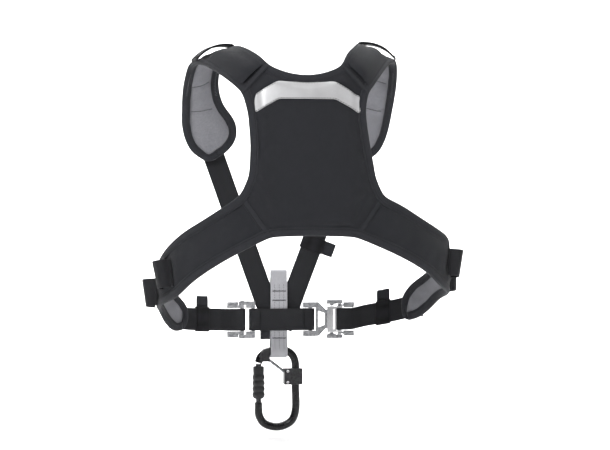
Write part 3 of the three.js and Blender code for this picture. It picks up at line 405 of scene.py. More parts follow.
def group(name, inputs, outputs):
    """An empty node group; inputs are (name, default), outputs are names."""
    tree = bpy.data.node_groups.new(name, "ShaderNodeTree")
    for key, default in inputs:
        kind = "NodeSocketVector" if default is None else "NodeSocketFloat"
        socket = tree.interface.new_socket(key, in_out="INPUT", socket_type=kind)
        if default is not None:
            socket.default_value = default
    for key in outputs:
        tree.interface.new_socket(key, in_out="OUTPUT", socket_type="NodeSocketFloat")
    return tree, tree.nodes.new("NodeGroupInput").outputs, tree.nodes.new("NodeGroupOutput").inputs


def plain_weave_group():
    """Over and under yarns of a woven cloth."""
    tree, given, out = group("plain_weave", [("Place", None), ("Pitch", 0.001)], ["Height"])
    place = add(tree, "ShaderNodeVectorMath", {0: given["Place"], "Scale": 1.0}, operation="SCALE")
    tree.links.new(math_node(tree, "DIVIDE", 1.0, given["Pitch"]), place.inputs["Scale"])
    axes = add(tree, "ShaderNodeSeparateXYZ", {0: place.outputs[0]}).outputs
    bows = [math_node(tree, "ABSOLUTE", math_node(tree, "SINE", math_node(
        tree, "MULTIPLY", axes[k], math.pi))) for k in (0, 1)]
    cells = math_node(tree, "ADD", math_node(tree, "FLOOR", axes[0]),
                      math_node(tree, "FLOOR", axes[1]))
    over = math_node(tree, "PINGPONG", cells, 1.0)
    warp = math_node(tree, "MULTIPLY", bows[0], math_node(tree, "MULTIPLY_ADD", bows[1], 0.5, 0.5))
    weft = math_node(tree, "MULTIPLY", bows[1], math_node(tree, "MULTIPLY_ADD", bows[0], 0.5, 0.5))
    height = add(tree, "ShaderNodeMix", {0: over, 2: warp, 3: weft}).outputs[0]
    tree.links.new(height, out["Height"])
    return tree


def rib_weave_group():
    """Slanted ribs that turn back at each stripe, as on heavy webbing."""
    tree, given, out = group("rib_weave", [("Place", None), ("Pitch", 0.002), ("Stripe", 0.007),
                                           ("Slant", 1.0)], ["Height"])
    axes = add(tree, "ShaderNodeSeparateXYZ", {0: given["Place"]}).outputs
    stripe = math_node(tree, "PINGPONG", axes[0], given["Stripe"])
    run = math_node(tree, "ADD", axes[1], math_node(tree, "MULTIPLY", stripe, given["Slant"]))
    turn = math_node(tree, "MULTIPLY", math_node(tree, "DIVIDE", run, given["Pitch"]), math.pi)
    ribs = math_node(tree, "ABSOLUTE", math_node(tree, "SINE", turn))
    yarn = math_node(tree, "ABSOLUTE", math_node(tree, "SINE", math_node(
        tree, "MULTIPLY", math_node(tree, "DIVIDE", axes[0], given["Pitch"]), 2 * math.pi)))
    tree.links.new(math_node(tree, "MULTIPLY_ADD", ribs, 0.75,
                             math_node(tree, "MULTIPLY", yarn, 0.25)), out["Height"])
    return tree


def open_knit_group():
    """Small round holes of a spacer mesh."""
    tree, given, out = group("open_knit", [("Place", None), ("Pitch", 0.002)], ["Height", "Hole"])
    scale = math_node(tree, "DIVIDE", 1.0, given["Pitch"])
    cells = add(tree, "ShaderNodeTexVoronoi", {"Vector": given["Place"], "Scale": scale,
                                               "Randomness": 0.25}, feature="F1",
                voronoi_dimensions="2D").outputs["Distance"]
    hole = add(tree, "ShaderNodeMapRange", {0: cells, 1: 0.22, 2: 0.36, 3: 1.0, 4: 0.0}).outputs[0]
    tree.links.new(math_node(tree, "SUBTRACT", 1.0, hole), out["Height"])
    tree.links.new(hole, out["Hole"])
    return tree


def blotch_group():
    """Broad uneven colour with a little fine grain."""
    tree, given, out = group("blotches", [("Place", None), ("Size", 0.03)], ["Amount"])
    scale = math_node(tree, "DIVIDE", 1.0, given["Size"])
    broad = add(tree, "ShaderNodeTexNoise", {"Vector": given["Place"], "Scale": scale,
                                             "Detail": 3.0, "Roughness": 0.6}).outputs[0]
    fine = add(tree, "ShaderNodeTexNoise", {"Vector": given["Place"], "Scale": 1600.0,
                                            "Detail": 1.0}).outputs[0]
    tree.links.new(math_node(tree, "MULTIPLY_ADD", broad, 0.7,
                             math_node(tree, "MULTIPLY", fine, 0.3)), out["Amount"])
    return tree


def wear_group():
    """Rubbed edges: the bevelled rims, broken up by noise."""
    tree, given, out = group("edge_wear", [("Place", None), ("Amount", 0.5)], ["Wear"])
    rim = add(tree, "ShaderNodeAttribute", attribute_name="rim").outputs["Fac"]
    rough = add(tree, "ShaderNodeTexNoise", {"Vector": given["Place"], "Scale": 420.0,
                                             "Detail": 4.0}).outputs[0]
    broken = add(tree, "ShaderNodeMapRange", {0: rough, 1: 0.38, 2: 0.62, 3: 0.0, 4: 1.0}).outputs[0]
    worn = math_node(tree, "MULTIPLY", math_node(tree, "MULTIPLY", rim, broken), given["Amount"])
    tree.links.new(worn, out["Wear"])
    return tree


PLAIN_WEAVE = plain_weave_group()
RIB_WEAVE = rib_weave_group()
OPEN_KNIT = open_knit_group()
BLOTCHES = blotch_group()
EDGE_WEAR = wear_group()


def use_group(tree, source, inputs):
    """The outputs of a shared group set in a material."""
    return add(tree, "ShaderNodeGroup", inputs, node_tree=source).outputs


def new_material(name, roughness, **shader):
    material = bpy.data.materials.new(name)
    material.use_nodes = True
    tree = material.node_tree
    tree.nodes.clear()
    bsdf = add(tree, "ShaderNodeBsdfPrincipled", {"Roughness": roughness, **shader})
    output = add(tree, "ShaderNodeOutputMaterial")
    tree.links.new(bsdf.outputs[0], output.inputs["Surface"])
    return material, tree, bsdf


def tinted(tree, factor, dark, light):
    return add(tree, "ShaderNodeMix", {0: factor, 6: (*dark, 1), 7: (*light, 1)},
               data_type="RGBA").outputs[2]


def bumped(tree, bsdf, height, distance, strength=1.0):
    bump = add(tree, "ShaderNodeBump", {"Height": height, "Distance": distance,
                                        "Strength": strength})
    tree.links.new(bump.outputs[0], bsdf.inputs["Normal"])


def cloth(name, dark, light, weave, pitch, depth, roughness=0.85, sheen=0.25, crease=0.0,
          valley_shade=0.35, **weave_inputs):
    """Woven cloth: painted shade makes the yarns darker in their valleys and in the knit's holes,
    with broad uneven colour.
    """
    material, tree, bsdf = new_material(name, roughness, **{
        "Sheen Weight": sheen, "Sheen Roughness": 0.45, "Specular IOR Level": 0.3})
    place = add(tree, "ShaderNodeUVMap", uv_map="weave").outputs[0]
    solid = add(tree, "ShaderNodeTexCoord").outputs["Object"]
    yarns = use_group(tree, weave, {"Place": place, "Pitch": pitch, **weave_inputs})
    broad = use_group(tree, BLOTCHES, {"Place": solid, "Size": 0.028})["Amount"]
    heather = use_group(tree, BLOTCHES, {"Place": solid, "Size": 0.0035})["Amount"]
    blotch = math_node(tree, "MULTIPLY_ADD", heather, 0.6, math_node(tree, "MULTIPLY", broad, 0.4))
    # painted shade: the weave's low places, its valleys and holes, are painted darker in the colour
    tone = math_node(tree, "MULTIPLY_ADD", yarns["Height"], valley_shade,
                     math_node(tree, "MULTIPLY", blotch, 1.0 - valley_shade))
    spread = add(tree, "ShaderNodeMapRange", {0: tone, 1: 0.25, 2: 0.8, 3: 0.0, 4: 1.0}).outputs[0]
    tree.links.new(tinted(tree, spread, dark, light), bsdf.inputs["Base Color"])
    tree.links.new(add(tree, "ShaderNodeMapRange", {0: blotch, 1: 0.3, 2: 0.7, 3: roughness - 0.08,
                                                    4: roughness + 0.06}).outputs[0],
                   bsdf.inputs["Roughness"])
    height = yarns["Height"]
    if crease:
        folds = add(tree, "ShaderNodeTexNoise", {"Vector": solid, "Scale": 95.0, "Detail": 2.0,
                                                 "Distortion": 0.6}).outputs[0]
        height = math_node(tree, "MULTIPLY_ADD", folds, crease, height)
    bumped(tree, bsdf, height, depth)
    return material


def thread(name, colour):
    material, tree, bsdf = new_material(name, 0.7, **{"Specular IOR Level": 0.25})
    solid = add(tree, "ShaderNodeTexCoord").outputs["Object"]
    blotch = use_group(tree, BLOTCHES, {"Place": solid, "Size": 0.004})["Amount"]
    tree.links.new(tinted(tree, blotch, [c * 0.6 for c in colour], [min(1, c * 1.4) for c in colour]),
                   bsdf.inputs["Base Color"])
    return material


def metal(name, colour, worn, roughness, grain_scale, grain_depth, wear, metallic=1.0,
          stretch=(1, 1, 1), coat=0.0):
    """Metal or moulded plastic with grain, uneven gloss and rubbed edges."""
    material, tree, bsdf = new_material(name, roughness, **{"Metallic": metallic,
                                                            "Coat Weight": coat})
    solid = add(tree, "ShaderNodeTexCoord").outputs["Object"]
    grain_place = add(tree, "ShaderNodeMapping", {"Vector": solid, "Scale": stretch}).outputs[0]
    grain = add(tree, "ShaderNodeTexNoise", {"Vector": grain_place, "Scale": grain_scale,
                                             "Detail": 5.0, "Roughness": 0.6}).outputs[0]
    blotch = use_group(tree, BLOTCHES, {"Place": solid, "Size": 0.009})["Amount"]
    rubbed = use_group(tree, EDGE_WEAR, {"Place": solid, "Amount": wear})["Wear"]
    base = tinted(tree, blotch, [c * 0.82 for c in colour], [min(1, c * 1.15) for c in colour])
    worn_over = add(tree, "ShaderNodeMix", {0: rubbed, 6: base, 7: (*worn, 1)},
                    data_type="RGBA").outputs[2]
    tree.links.new(worn_over, bsdf.inputs["Base Color"])
    gloss = add(tree, "ShaderNodeMapRange", {0: math_node(tree, "MULTIPLY_ADD", grain, 0.5,
                                                          math_node(tree, "MULTIPLY", blotch, 0.5)),
                                             1: 0.3, 2: 0.7, 3: max(0.05, roughness - 0.1),
                                             4: min(1, roughness + 0.12)}).outputs[0]
    tree.links.new(gloss, bsdf.inputs["Roughness"])
    bumped(tree, bsdf, grain, grain_depth)
    return material


COVER = cloth("cover_cloth", (0.009, 0.0095, 0.012), (0.032, 0.033, 0.040), PLAIN_WEAVE, 0.0009,
              0.0002, sheen=0.1, crease=0.9, valley_shade=0.5)
LINING = cloth("spacer_lining", (0.17, 0.17, 0.187), (0.31, 0.31, 0.335), OPEN_KNIT, 0.0016,
               0.0003, roughness=0.9, sheen=0.2, valley_shade=0.4)
TAPE = cloth("binding_tape", (0.010, 0.0105, 0.013), (0.036, 0.037, 0.044), RIB_WEAVE, 0.0013,
             0.00025, sheen=0.12, crease=0.5, valley_shade=0.55, Slant=0.0)
WEBBING = cloth("strap_webbing", (0.004, 0.004, 0.005), (0.019, 0.0195, 0.0235), RIB_WEAVE, 0.0019,
                0.00035, roughness=0.66, sheen=0.08, valley_shade=0.6, Stripe=0.0073, Slant=0.8)
ELASTIC = cloth("elastic", (0.003, 0.003, 0.004), (0.012, 0.012, 0.015), RIB_WEAVE, 0.0013,
                0.0003, roughness=0.8, sheen=0.05, valley_shade=0.6, Slant=0.0)
GREY_WEBBING = cloth("grey_webbing", (0.22, 0.22, 0.24), (0.62, 0.62, 0.65), RIB_WEAVE, 0.0017,
                     0.0003, roughness=0.8, sheen=0.2, valley_shade=0.6, Stripe=0.0056, Slant=0.7)
DARK_THREAD = thread("dark_thread", (0.005, 0.005, 0.006))
LIGHT_THREAD = thread("light_thread", (0.13, 0.13, 0.14))
BLACK_THREAD = thread("black_thread", (0.012, 0.012, 0.013))
GREY_THREAD = thread("grey_thread", (0.12, 0.12, 0.13))
BUCKLE_METAL = metal("buckle_metal", (0.30, 0.305, 0.32), (0.62, 0.62, 0.64), 0.48, 900, 0.00012,
                     0.6, metallic=0.75)
BRIGHT_METAL = metal("bright_metal", (0.80, 0.80, 0.82), (0.95, 0.95, 0.96), 0.18, 260, 0.00002,
                     0.3, stretch=(1, 1, 0.15))
BLACK_METAL = metal("black_anodised", (0.010, 0.010, 0.011), (0.16, 0.16, 0.17), 0.26, 700,
                    0.00003, 0.55, metallic=0.5, coat=0.15)
BLACK_PLASTIC = metal("black_plastic", (0.014, 0.014, 0.0155), (0.06, 0.06, 0.065), 0.5, 1100,
                      0.00008, 0.5, metallic=0.0)
GREY_ROD = metal("grey_rod", (0.22, 0.22, 0.235), (0.55, 0.55, 0.56), 0.36, 300, 0.00003, 0.4,
                 stretch=(1, 1, 0.2))


def reflector_material():
    """Glass-bead tape: fine bright cells under a thin clear film, with broad patches of painted sheen
    in its colour.
    """
    material, tree, bsdf = new_material("reflector", 0.38, **{"Metallic": 0.25,
                                                              "Coat Weight": 0.25,
                                                              "Coat Roughness": 0.3})
    place = add(tree, "ShaderNodeUVMap", uv_map="weave").outputs[0]
    solid = add(tree, "ShaderNodeTexCoord").outputs["Object"]
    cells = add(tree, "ShaderNodeTexVoronoi", {"Vector": place, "Scale": 900.0},
                feature="DISTANCE_TO_EDGE", voronoi_dimensions="2D").outputs["Distance"]
    # painted sheen: broad patches painted lighter into the tape's colour
    sheen = use_group(tree, BLOTCHES, {"Place": solid, "Size": 0.035})["Amount"]
    tone = math_node(tree, "MULTIPLY_ADD", cells, 0.5, sheen)
    spread = add(tree, "ShaderNodeMapRange", {0: tone, 1: 0.4, 2: 0.85, 3: 0.0, 4: 1.0}).outputs[0]
    tree.links.new(tinted(tree, spread, (0.50, 0.50, 0.51), (0.70, 0.70, 0.71)),
                   bsdf.inputs["Base Color"])
    bumped(tree, bsdf, cells, 0.0001)
    return material


REFLECTOR = reflector_material()

# ---------------------------------------------------- surfaces of the vest


def sway_at(z):
    return SWAY * float(smoothstep(z, SWAY_FROM, SWAY_TO))


def depth_at(z):
    rise = max(0.0, (z - LEAN_FROM) / (LEAN_TO - LEAN_FROM))
    return TORSO_DEPTH - LEAN * rise * rise


def back_point(x, z):
    share = x / (TORSO_REACH_LEFT if x < 0 else TORSO_REACH_RIGHT)
    return np.array((x + sway_at(z), -depth_at(z) * math.sqrt(1 - share * share), z))


def wing_point(side, angle, z):
    reach = TORSO_REACH_LEFT if side < 0 else TORSO_REACH_RIGHT
    a = math.radians(angle)
    return np.array((side * reach * math.sin(a) + sway_at(z), -depth_at(z) * math.cos(a), z))


def hem_at(share):
    if share <= PANEL_CORNER:
        return mix(HEM_Z, HEM_CORNER_Z, (share / PANEL_CORNER) ** 2)
    return mix(HEM_CORNER_Z, WING_TOP_Z, (share - PANEL_CORNER) / (1 - PANEL_CORNER))


def neck_at(share):
    if share <= PANEL_CORNER:
        return mix(NECK_Z, NECK_CORNER_Z, (share / PANEL_CORNER) ** 2)
    return mix(NECK_CORNER_Z, ARMHOLE_TOP_Z, (share - PANEL_CORNER) / (1 - PANEL_CORNER))


def panel_spot(share, v):
    """The back panel's point at a share of its half-width and a share of height."""
    width = look_up(PANEL_HALF_WIDTHS, v)
    z0, z1 = hem_at(abs(share)), neck_at(abs(share))
    inner = [mix(z0 + PANEL_FULL, z1 - PANEL_FULL, t) for t in (0.25, 0.5, 0.75)]
    heights = [z0, z0 + PANEL_MARGIN, z0 + PANEL_FULL, *inner, z1 - PANEL_FULL,
               z1 - PANEL_MARGIN, z1]
    z = float(np.interp(v * 8, range(9), heights))
    return back_point(share * width, z)


def back_grid():
    half = [PANEL_CORNER * k / 9 for k in range(9)] + [
        mix(PANEL_CORNER, 1, k / 6) for k in range(7)]
    shares = [-s for s in reversed(half[1:])] + half
    rows = [0, 1 / 24, 2 / 24]
    rows += [1 / 8, 1.5 / 8]
    rows += list(np.linspace(2 / 8, 6 / 8, 25))
    rows += [6.5 / 8, 7 / 8, 22 / 24, 23 / 24, 1]
    return np.array([[panel_spot(s, v) for s in shares] for v in rows])


def ruled_grid(first, second, columns, bow):
    """Straight rows between two rails; the last rows bow out to a round end."""
    t = np.linspace(0, 1, columns + 1)[None, :, None]
    grid = mix(first[:, None, :], second[:, None, :], t)
    middle = grid.mean(axis=1)
    along = arc_lengths(middle)
    remaining = along[-1] - along
    push = smoothstep(1 - remaining / END_BOW_REACH, 0, 1) * bow
    way = unit(middle[-1] - middle[-3])
    bulge = (1 - (2 * t[0, :, 0] - 1) ** 2)
    return grid + push[:, None, None] * bulge[None, :, None] * way


def strap_grid(side):
    corner = panel_spot(side * PANEL_CORNER, 1)
    end = panel_spot(side, 1)

    def place(x, y, z):
        return (side * x + SWAY, y, z + side * TILT * float(smoothstep(z, TILT_FROM, TILT_TO)))

    inner = smooth_rail([corner, *[place(*r[:3]) for r in STRAP_RAILS]], 6)
    outer = smooth_rail([end, *[place(*r[3:]) for r in STRAP_RAILS]], 6)
    rails = (inner, outer) if side > 0 else (outer, inner)
    return ruled_grid(*rails, 10, STRAP_END_BOW)


def wing_grid(side):
    top, foot = panel_spot(side, 0), panel_spot(side * PANEL_CORNER, 0)
    upper = [top, *[wing_point(side, r[0], r[2] if side > 0 else r[4]) for r in WING_RAILS]]
    lower = [foot, *[wing_point(side, r[1], r[3] if side > 0 else r[5]) for r in WING_RAILS]]
    upper, lower = smooth_rail(upper, 5), smooth_rail(lower, 5)
    rails = (upper, lower) if side > 0 else (lower, upper)
    return ruled_grid(*rails, 11, WING_END_BOW)


def grid_normals(grid):
    """Outward normals; where a corner folds back they follow the middle column."""
    along = np.gradient(grid, axis=0)
    across = np.gradient(grid, axis=1)
    normals = unit(np.cross(across, along))
    middle = normals[:, grid.shape[1] // 2][:, None]
    facing = np.sum(normals * middle, axis=2, keepdims=True)
    return normals * np.where(facing < 0, -1, 1)


def border_distance(grid):
    """Distance of every grid point to the nearest side, and to each end."""
    sides = np.cumsum(np.linalg.norm(np.diff(grid, axis=1, prepend=grid[:, :1]), axis=2), axis=1)
    rows = np.cumsum(np.linalg.norm(np.diff(grid, axis=0, prepend=grid[:1]), axis=2), axis=0)
    across = np.minimum(sides, sides[:, -1:] - sides)
    along = np.minimum(rows, rows[-1:] - rows)
    return across, along, sides, rows


def foam_half(across, along, full):
    rise = smoothstep(across, FLAT_MARGIN, FOAM_RAMP) * smoothstep(along, FLAT_MARGIN, FOAM_RAMP)
    return mix(EDGE_HALF, full, rise)


BACK = back_grid()
STRAPS = {"left": strap_grid(-1), "right": strap_grid(1)}
WINGS = {"left": wing_grid(-1), "right": wing_grid(1)}
NORMALS = {id(g): grid_normals(g) for g in (BACK, *STRAPS.values(), *WINGS.values())}


def trimmed(grid, sides, start, end):
    """The grid with each border drawn in by its own distance."""
    out = grid.copy()
    out[:, 0] += unit(grid[:, 1] - grid[:, 0]) * sides
    out[:, -1] += unit(grid[:, -2] - grid[:, -1]) * sides
    out[0] += unit(grid[1] - grid[0]) * np.reshape(start, (-1, 1))
    out[-1] += unit(grid[-2] - grid[-1]) * np.reshape(end, (-1, 1))
    return out


def two_sided(name, grid, high, low, normals, materials):
    """Closed laminate between two heights over a grid: cover above, lining below."""
    rows, columns = grid.shape[:2]
    top = grid + normals * high[..., None]
    under = grid + normals * low[..., None]
    _, _, u, v = border_distance(grid)
    u = u - u[:, -1:] / 2
    spot = np.stack([u, v], axis=-1).reshape(-1, 2)
    index = np.arange(rows * columns).reshape(rows, columns)
    below = index + rows * columns
    faces, slots = [], []
    for i in range(rows - 1):
        for j in range(columns - 1):
            faces.append((index[i, j], index[i, j + 1], index[i + 1, j + 1], index[i + 1, j]))
            faces.append((below[i, j], below[i + 1, j], below[i + 1, j + 1], below[i, j + 1]))
            slots += [0, len(materials) - 1]
    rim = [(0, j) for j in range(columns)] + [(i, columns - 1) for i in range(1, rows)]
    rim += [(rows - 1, j) for j in range(columns - 2, -1, -1)]
    rim += [(i, 0) for i in range(rows - 2, 0, -1)]
    for a, b in zip(rim, rim[1:] + rim[:1]):
        faces.append((index[b], index[a], below[a], below[b]))
        slots.append(0)
    vertices = np.vstack([top.reshape(-1, 3), under.reshape(-1, 3)])
    uvs = np.array([spot[k % len(spot)] for face in faces for k in face])
    return mesh_object(name, vertices, faces, uvs, materials, slots)


STITCH_LINES = []


def sew_line(points, across, zigzag=0.0, pitch=STITCH_PITCH, thread=DARK_THREAD, body="harness"):
    """Notes a line to be sewn later; `across` is one sideways direction or one to a point."""
    points = np.array(points, float)
    across = np.broadcast_to(np.asarray(across, float), points.shape)
    STITCH_LINES.append((points, across, zigzag, pitch, thread, body))


# --------------------------------------------------------------- soft pads


def make_pad(name, grid, full, start, end):
    across, along, _, _ = border_distance(grid)
    normals = NORMALS[id(grid)]
    cut = trimmed(grid, EDGE_INSET, start, end)
    half = foam_half(across, along, full * PAD_START)
    pad = two_sided(name, cut, half, -half, normals, [COVER, LINING])
    sewn = np.minimum(across, along) < FLAT_MARGIN
    held = pad.vertex_groups.new(name="sewn")
    held.add([int(k) for k in np.flatnonzero(np.tile(sewn.ravel(), 2))], 1.0, "REPLACE")
    limit = foam_half(across, along, full) + SKIN_LIMIT * smoothstep(across, 0, FOAM_RAMP)
    return {"pad": pad, "normals": np.tile(normals.reshape(-1, 3), (2, 1)),
            "middle": np.tile(cut.reshape(-1, 3), (2, 1)), "limit": np.tile(limit.ravel(), 2),
            "count": cut.shape[0] * cut.shape[1]}


def read_points(mesh):
    points = np.empty(len(mesh.vertices) * 3, np.float64)
    mesh.vertices.foreach_get("co", points)
    return points.reshape(-1, 3)


def write_points(mesh, points):
    mesh.vertices.foreach_set("co", np.asarray(points, np.float32).ravel())
    mesh.update()


def inflate(pads):
    """Cloth pressure fills every pad between its sewn edges, within its limit."""
    for item in pads:
        modifier = item["pad"].modifiers.new("Puff", "CLOTH")
        for key, value in PUFF_SETTINGS.items():
            setattr(modifier.settings, key, value)
        modifier.settings.effector_weights.gravity = 0
        modifier.collision_settings.use_collision = False
        modifier.point_cache.frame_start = 1
        modifier.point_cache.frame_end = PUFF_FRAMES
    for number in range(1, PUFF_FRAMES + 1):
        bpy.context.scene.frame_set(number)
    graph = bpy.context.evaluated_depsgraph_get()
    moved = [read_points(item["pad"].evaluated_get(graph).data) for item in pads]
    bpy.context.scene.frame_set(1)
    for item, points in zip(pads, moved):
        item["pad"].modifiers.clear()
        rest = read_points(item["pad"].data)
        step = points - rest
        length = np.linalg.norm(step, axis=1, keepdims=True)
        step = step * np.minimum(1, PUFF_LIMIT / np.maximum(length, 1e-9))
        points = rest + step
        height = np.einsum("ij,ij->i", points - item["middle"], item["normals"])
        sign = np.where(np.arange(len(points)) < item["count"], 1, -1)
        kept = np.clip(height * sign, 0.0009, item["limit"]) * sign
        write_points(item["pad"].data, points + item["normals"] * (kept - height)[:, None])


def press_grooves(pad, grid, places):
    """Sewn channels across the lining side of a shoulder pad."""
    points = read_points(pad.data)
    middle = grid.mean(axis=1)
    along = arc_lengths(middle)
    normals = np.empty(len(points) * 3)
    pad.data.vertices.foreach_get("normal", normals)
    normals = normals.reshape(-1, 3)
    flat = grid.reshape(-1, 3)
    facing = NORMALS[id(grid)].reshape(-1, 3)
    rows = np.repeat(np.arange(grid.shape[0]), grid.shape[1])
    for k, point in enumerate(points):
        nearest = int(np.argmin(((flat - point) ** 2).sum(axis=1)))
        if (point - flat[nearest]) @ facing[nearest] > 0:
            continue
        row = rows[nearest]
        way = unit(middle[min(row + 1, len(middle) - 1)] - middle[max(row - 1, 0)])
        at = along[row] + (point - flat[nearest]) @ way
        for place in places:
            dip = math.exp(-((at - place) / GROOVE_WIDTH) ** 2)
            points[k] -= normals[k] * GROOVE_DEPTH * dip
    write_points(pad.data, points)
    surface = BVHTree.FromObject(pad, bpy.context.evaluated_depsgraph_get())
    for place in places:
        row = int(np.argmin(np.abs(along - place)))
        out = unit(NORMALS[id(grid)][row, grid.shape[1] // 2])
        line = []
        for share in np.linspace(*GROOVE_THREAD_SPAN, 12):
            column = share * (grid.shape[1] - 1)
            spot = np.array([np.interp(column, range(grid.shape[1]), grid[row, :, k])
                             for k in range(3)])
            hit = surface.ray_cast(Vector(spot - out * 0.02), Vector(out))[0]
            line.append(np.array(hit) if hit else spot - out * STRAP_HALF)
        sew_line(line, unit(middle[row] - middle[row - 1]), 0.0024, 0.0010)


def make_pads():
    columns = BACK.shape[1]
    seam_column = np.array([j <= 6 or j >= columns - 7 for j in range(columns)])
    seams = np.where(seam_column, SEAM_INSET, EDGE_INSET)
    made = {"back_panel": make_pad("back_panel_soft", BACK, BACK_HALF, seams, seams)}
    for side in ("left", "right"):
        made[f"shoulder_{side}"] = make_pad(f"shoulder_{side}_soft", STRAPS[side], STRAP_HALF,
                                            SEAM_INSET, EDGE_INSET)
        made[f"wing_{side}"] = make_pad(f"wing_{side}_soft", WINGS[side], WING_HALF,
                                        SEAM_INSET, EDGE_INSET)
    inflate(list(made.values()))
    for zone, item in made.items():
        pad = subdivided(item["pad"])
        pad.vertex_groups.clear()
        if zone.startswith("shoulder"):
            press_grooves(pad, STRAPS[zone.split("_")[1]], STRAP_GROOVES)
        put(pad, "cover_fabric", f"{zone}_cover", f"{zone}_foam", f"{zone}_lining")


make_pads()

# ------------------------------------------------------------ binding tape


def edge_run(grid, which, inward=2):
    """Points of one border, the points a little inward, and the normals."""
    normals = NORMALS[id(grid)]
    pick = {"first": (slice(None), 0), "second": (slice(None), -1),
            "start": (0, slice(None)), "end": (-1, slice(None))}[which]
    inner = {"first": (slice(None), inward), "second": (slice(None), -1 - inward),
             "start": (inward, slice(None)), "end": (-1 - inward, slice(None))}[which]
    return np.stack([grid[pick], grid[inner], normals[pick]], axis=1)


def joined_runs(*runs):
    out = [runs[0]]
    for run in runs[1:]:
        out[-1] = out[-1][:-1]
        out.append(run)
    return np.concatenate(out)


def eased(run, passes):
    """The run set at even steps with its sharp turns rounded off."""
    along = arc_lengths(run[:, 0])
    count = int(along[-1] / 0.0035)
    at = np.linspace(0, along[-1], count)
    flat = run.reshape(len(run), -1)
    even = np.column_stack([np.interp(at, along, flat[:, k]) for k in range(9)])
    for _ in range(passes):
        even[1:-1] = (even[:-2] + 2 * even[1:-1] + even[2:]) / 4
    return even.reshape(-1, 3, 3)


def tape_frames(run):
    edge, inner, normal = run[:, 0], run[:, 1], unit(run[:, 2])
    way = unit(np.gradient(edge, axis=0))
    inward = inner - edge
    inward = unit(inward - np.sum(inward * way, axis=1, keepdims=True) * way)
    normal = unit(normal - np.sum(normal * way, axis=1, keepdims=True) * way)
    return edge, inward, normal, way


def tape_section():
    """Folded tape seen end on: distance inward from the fold, and height."""
    fold = EDGE_HALF + TAPE_THICK + 0.0004
    outer = [(fold * (1 - math.sin(a)) - 0.0006, -fold * math.cos(a))
             for a in np.linspace(0, math.pi, 9)]
    lips = [(TAPE_LEG, -0.0029), (TAPE_STITCH_AT + 0.0012, -0.00305), (TAPE_STITCH_AT, -0.00275),
            (TAPE_STITCH_AT - 0.0014, -0.0031), (0.0045, -0.0031)]
    top = [(s, -n) for s, n in reversed(lips)]
    inner_lip = EDGE_HALF + 0.0003
    inside = [(TAPE_LEG + 0.0001, inner_lip), (0.004, inner_lip), (0.0016, inner_lip * 0.6),
              (0.0016, -inner_lip * 0.6), (0.004, -inner_lip), (TAPE_LEG + 0.0001, -inner_lip)]
    return np.array(lips + outer + top + inside)


def swept(name, centres, axes_a, axes_b, section, materials, closed=False, scales=None):
    """A section swept along stations; UVs run round the section and along it."""
    count, sides = len(centres), len(section)
    if scales is None:
        scales = np.ones(count)
    vertices = (centres[:, None, :]
                + section[None, :, 0, None] * axes_a[:, None, :] * scales[:, None, None]
                + section[None, :, 1, None] * axes_b[:, None, :])
    around = arc_lengths(np.vstack([section, section[:1]]))
    ring = np.vstack([centres, centres[:1]]) if closed else centres
    along = arc_lengths(ring)
    faces, uvs = [], []
    for i in range(count if closed else count - 1):
        k = (i + 1) % count
        for j in range(sides):
            m = (j + 1) % sides
            faces.append((i * sides + j, i * sides + m, k * sides + m, k * sides + j))
            uvs += [(around[j], along[i]), (around[j + 1], along[i]),
                    (around[j + 1], along[i + 1]), (around[j], along[i + 1])]
    if not closed:
        first = tuple(range(sides))
        last = tuple((count - 1) * sides + j for j in range(sides))
        for cap in (first[::-1], last):
            faces.append(cap)
            uvs += [tuple(section[j % sides]) for j in cap]
    obj = mesh_object(name, vertices.reshape(-1, 3), faces, uvs, materials)
    return face_outwards(obj)


def leg_shares(edge, inward, way):
    """Share of the full leg at each station, less where the legs would cross."""
    step = np.linalg.norm(np.gradient(edge, axis=0), axis=1)
    closing = -np.sum(np.gradient(inward, axis=0) * way, axis=1) / step
    share = np.clip(0.7 / np.maximum(TAPE_LEG * closing, 1e-6), 0.3, 1)
    wide = np.pad(share, 3, mode="edge")
    share = np.min([wide[k:k + len(share)] for k in range(7)], axis=0)
    wide = np.pad(share, 2, mode="edge")
    return np.mean([wide[k:k + len(share)] for k in range(5)], axis=0)


def make_binding(name, node, run, passes=6):
    run = eased(run, passes)
    edge, inward, normal, way = tape_frames(run)
    wave = 1 + 0.035 * ripple(arc_lengths(edge), 0.030, len(name))
    shares = leg_shares(edge, inward, way)
    tape = swept(name, edge, inward, normal, tape_section(), [TAPE], scales=wave * shares)
    put(tape, "binding_tape", node)
    for side in (1, -1):
        rows = edge + inward * (TAPE_STITCH_AT * shares)[:, None] + normal * side * 0.00285
        sew_line(rows, inward)
    return run


def reverse(run):
    return run[::-1]


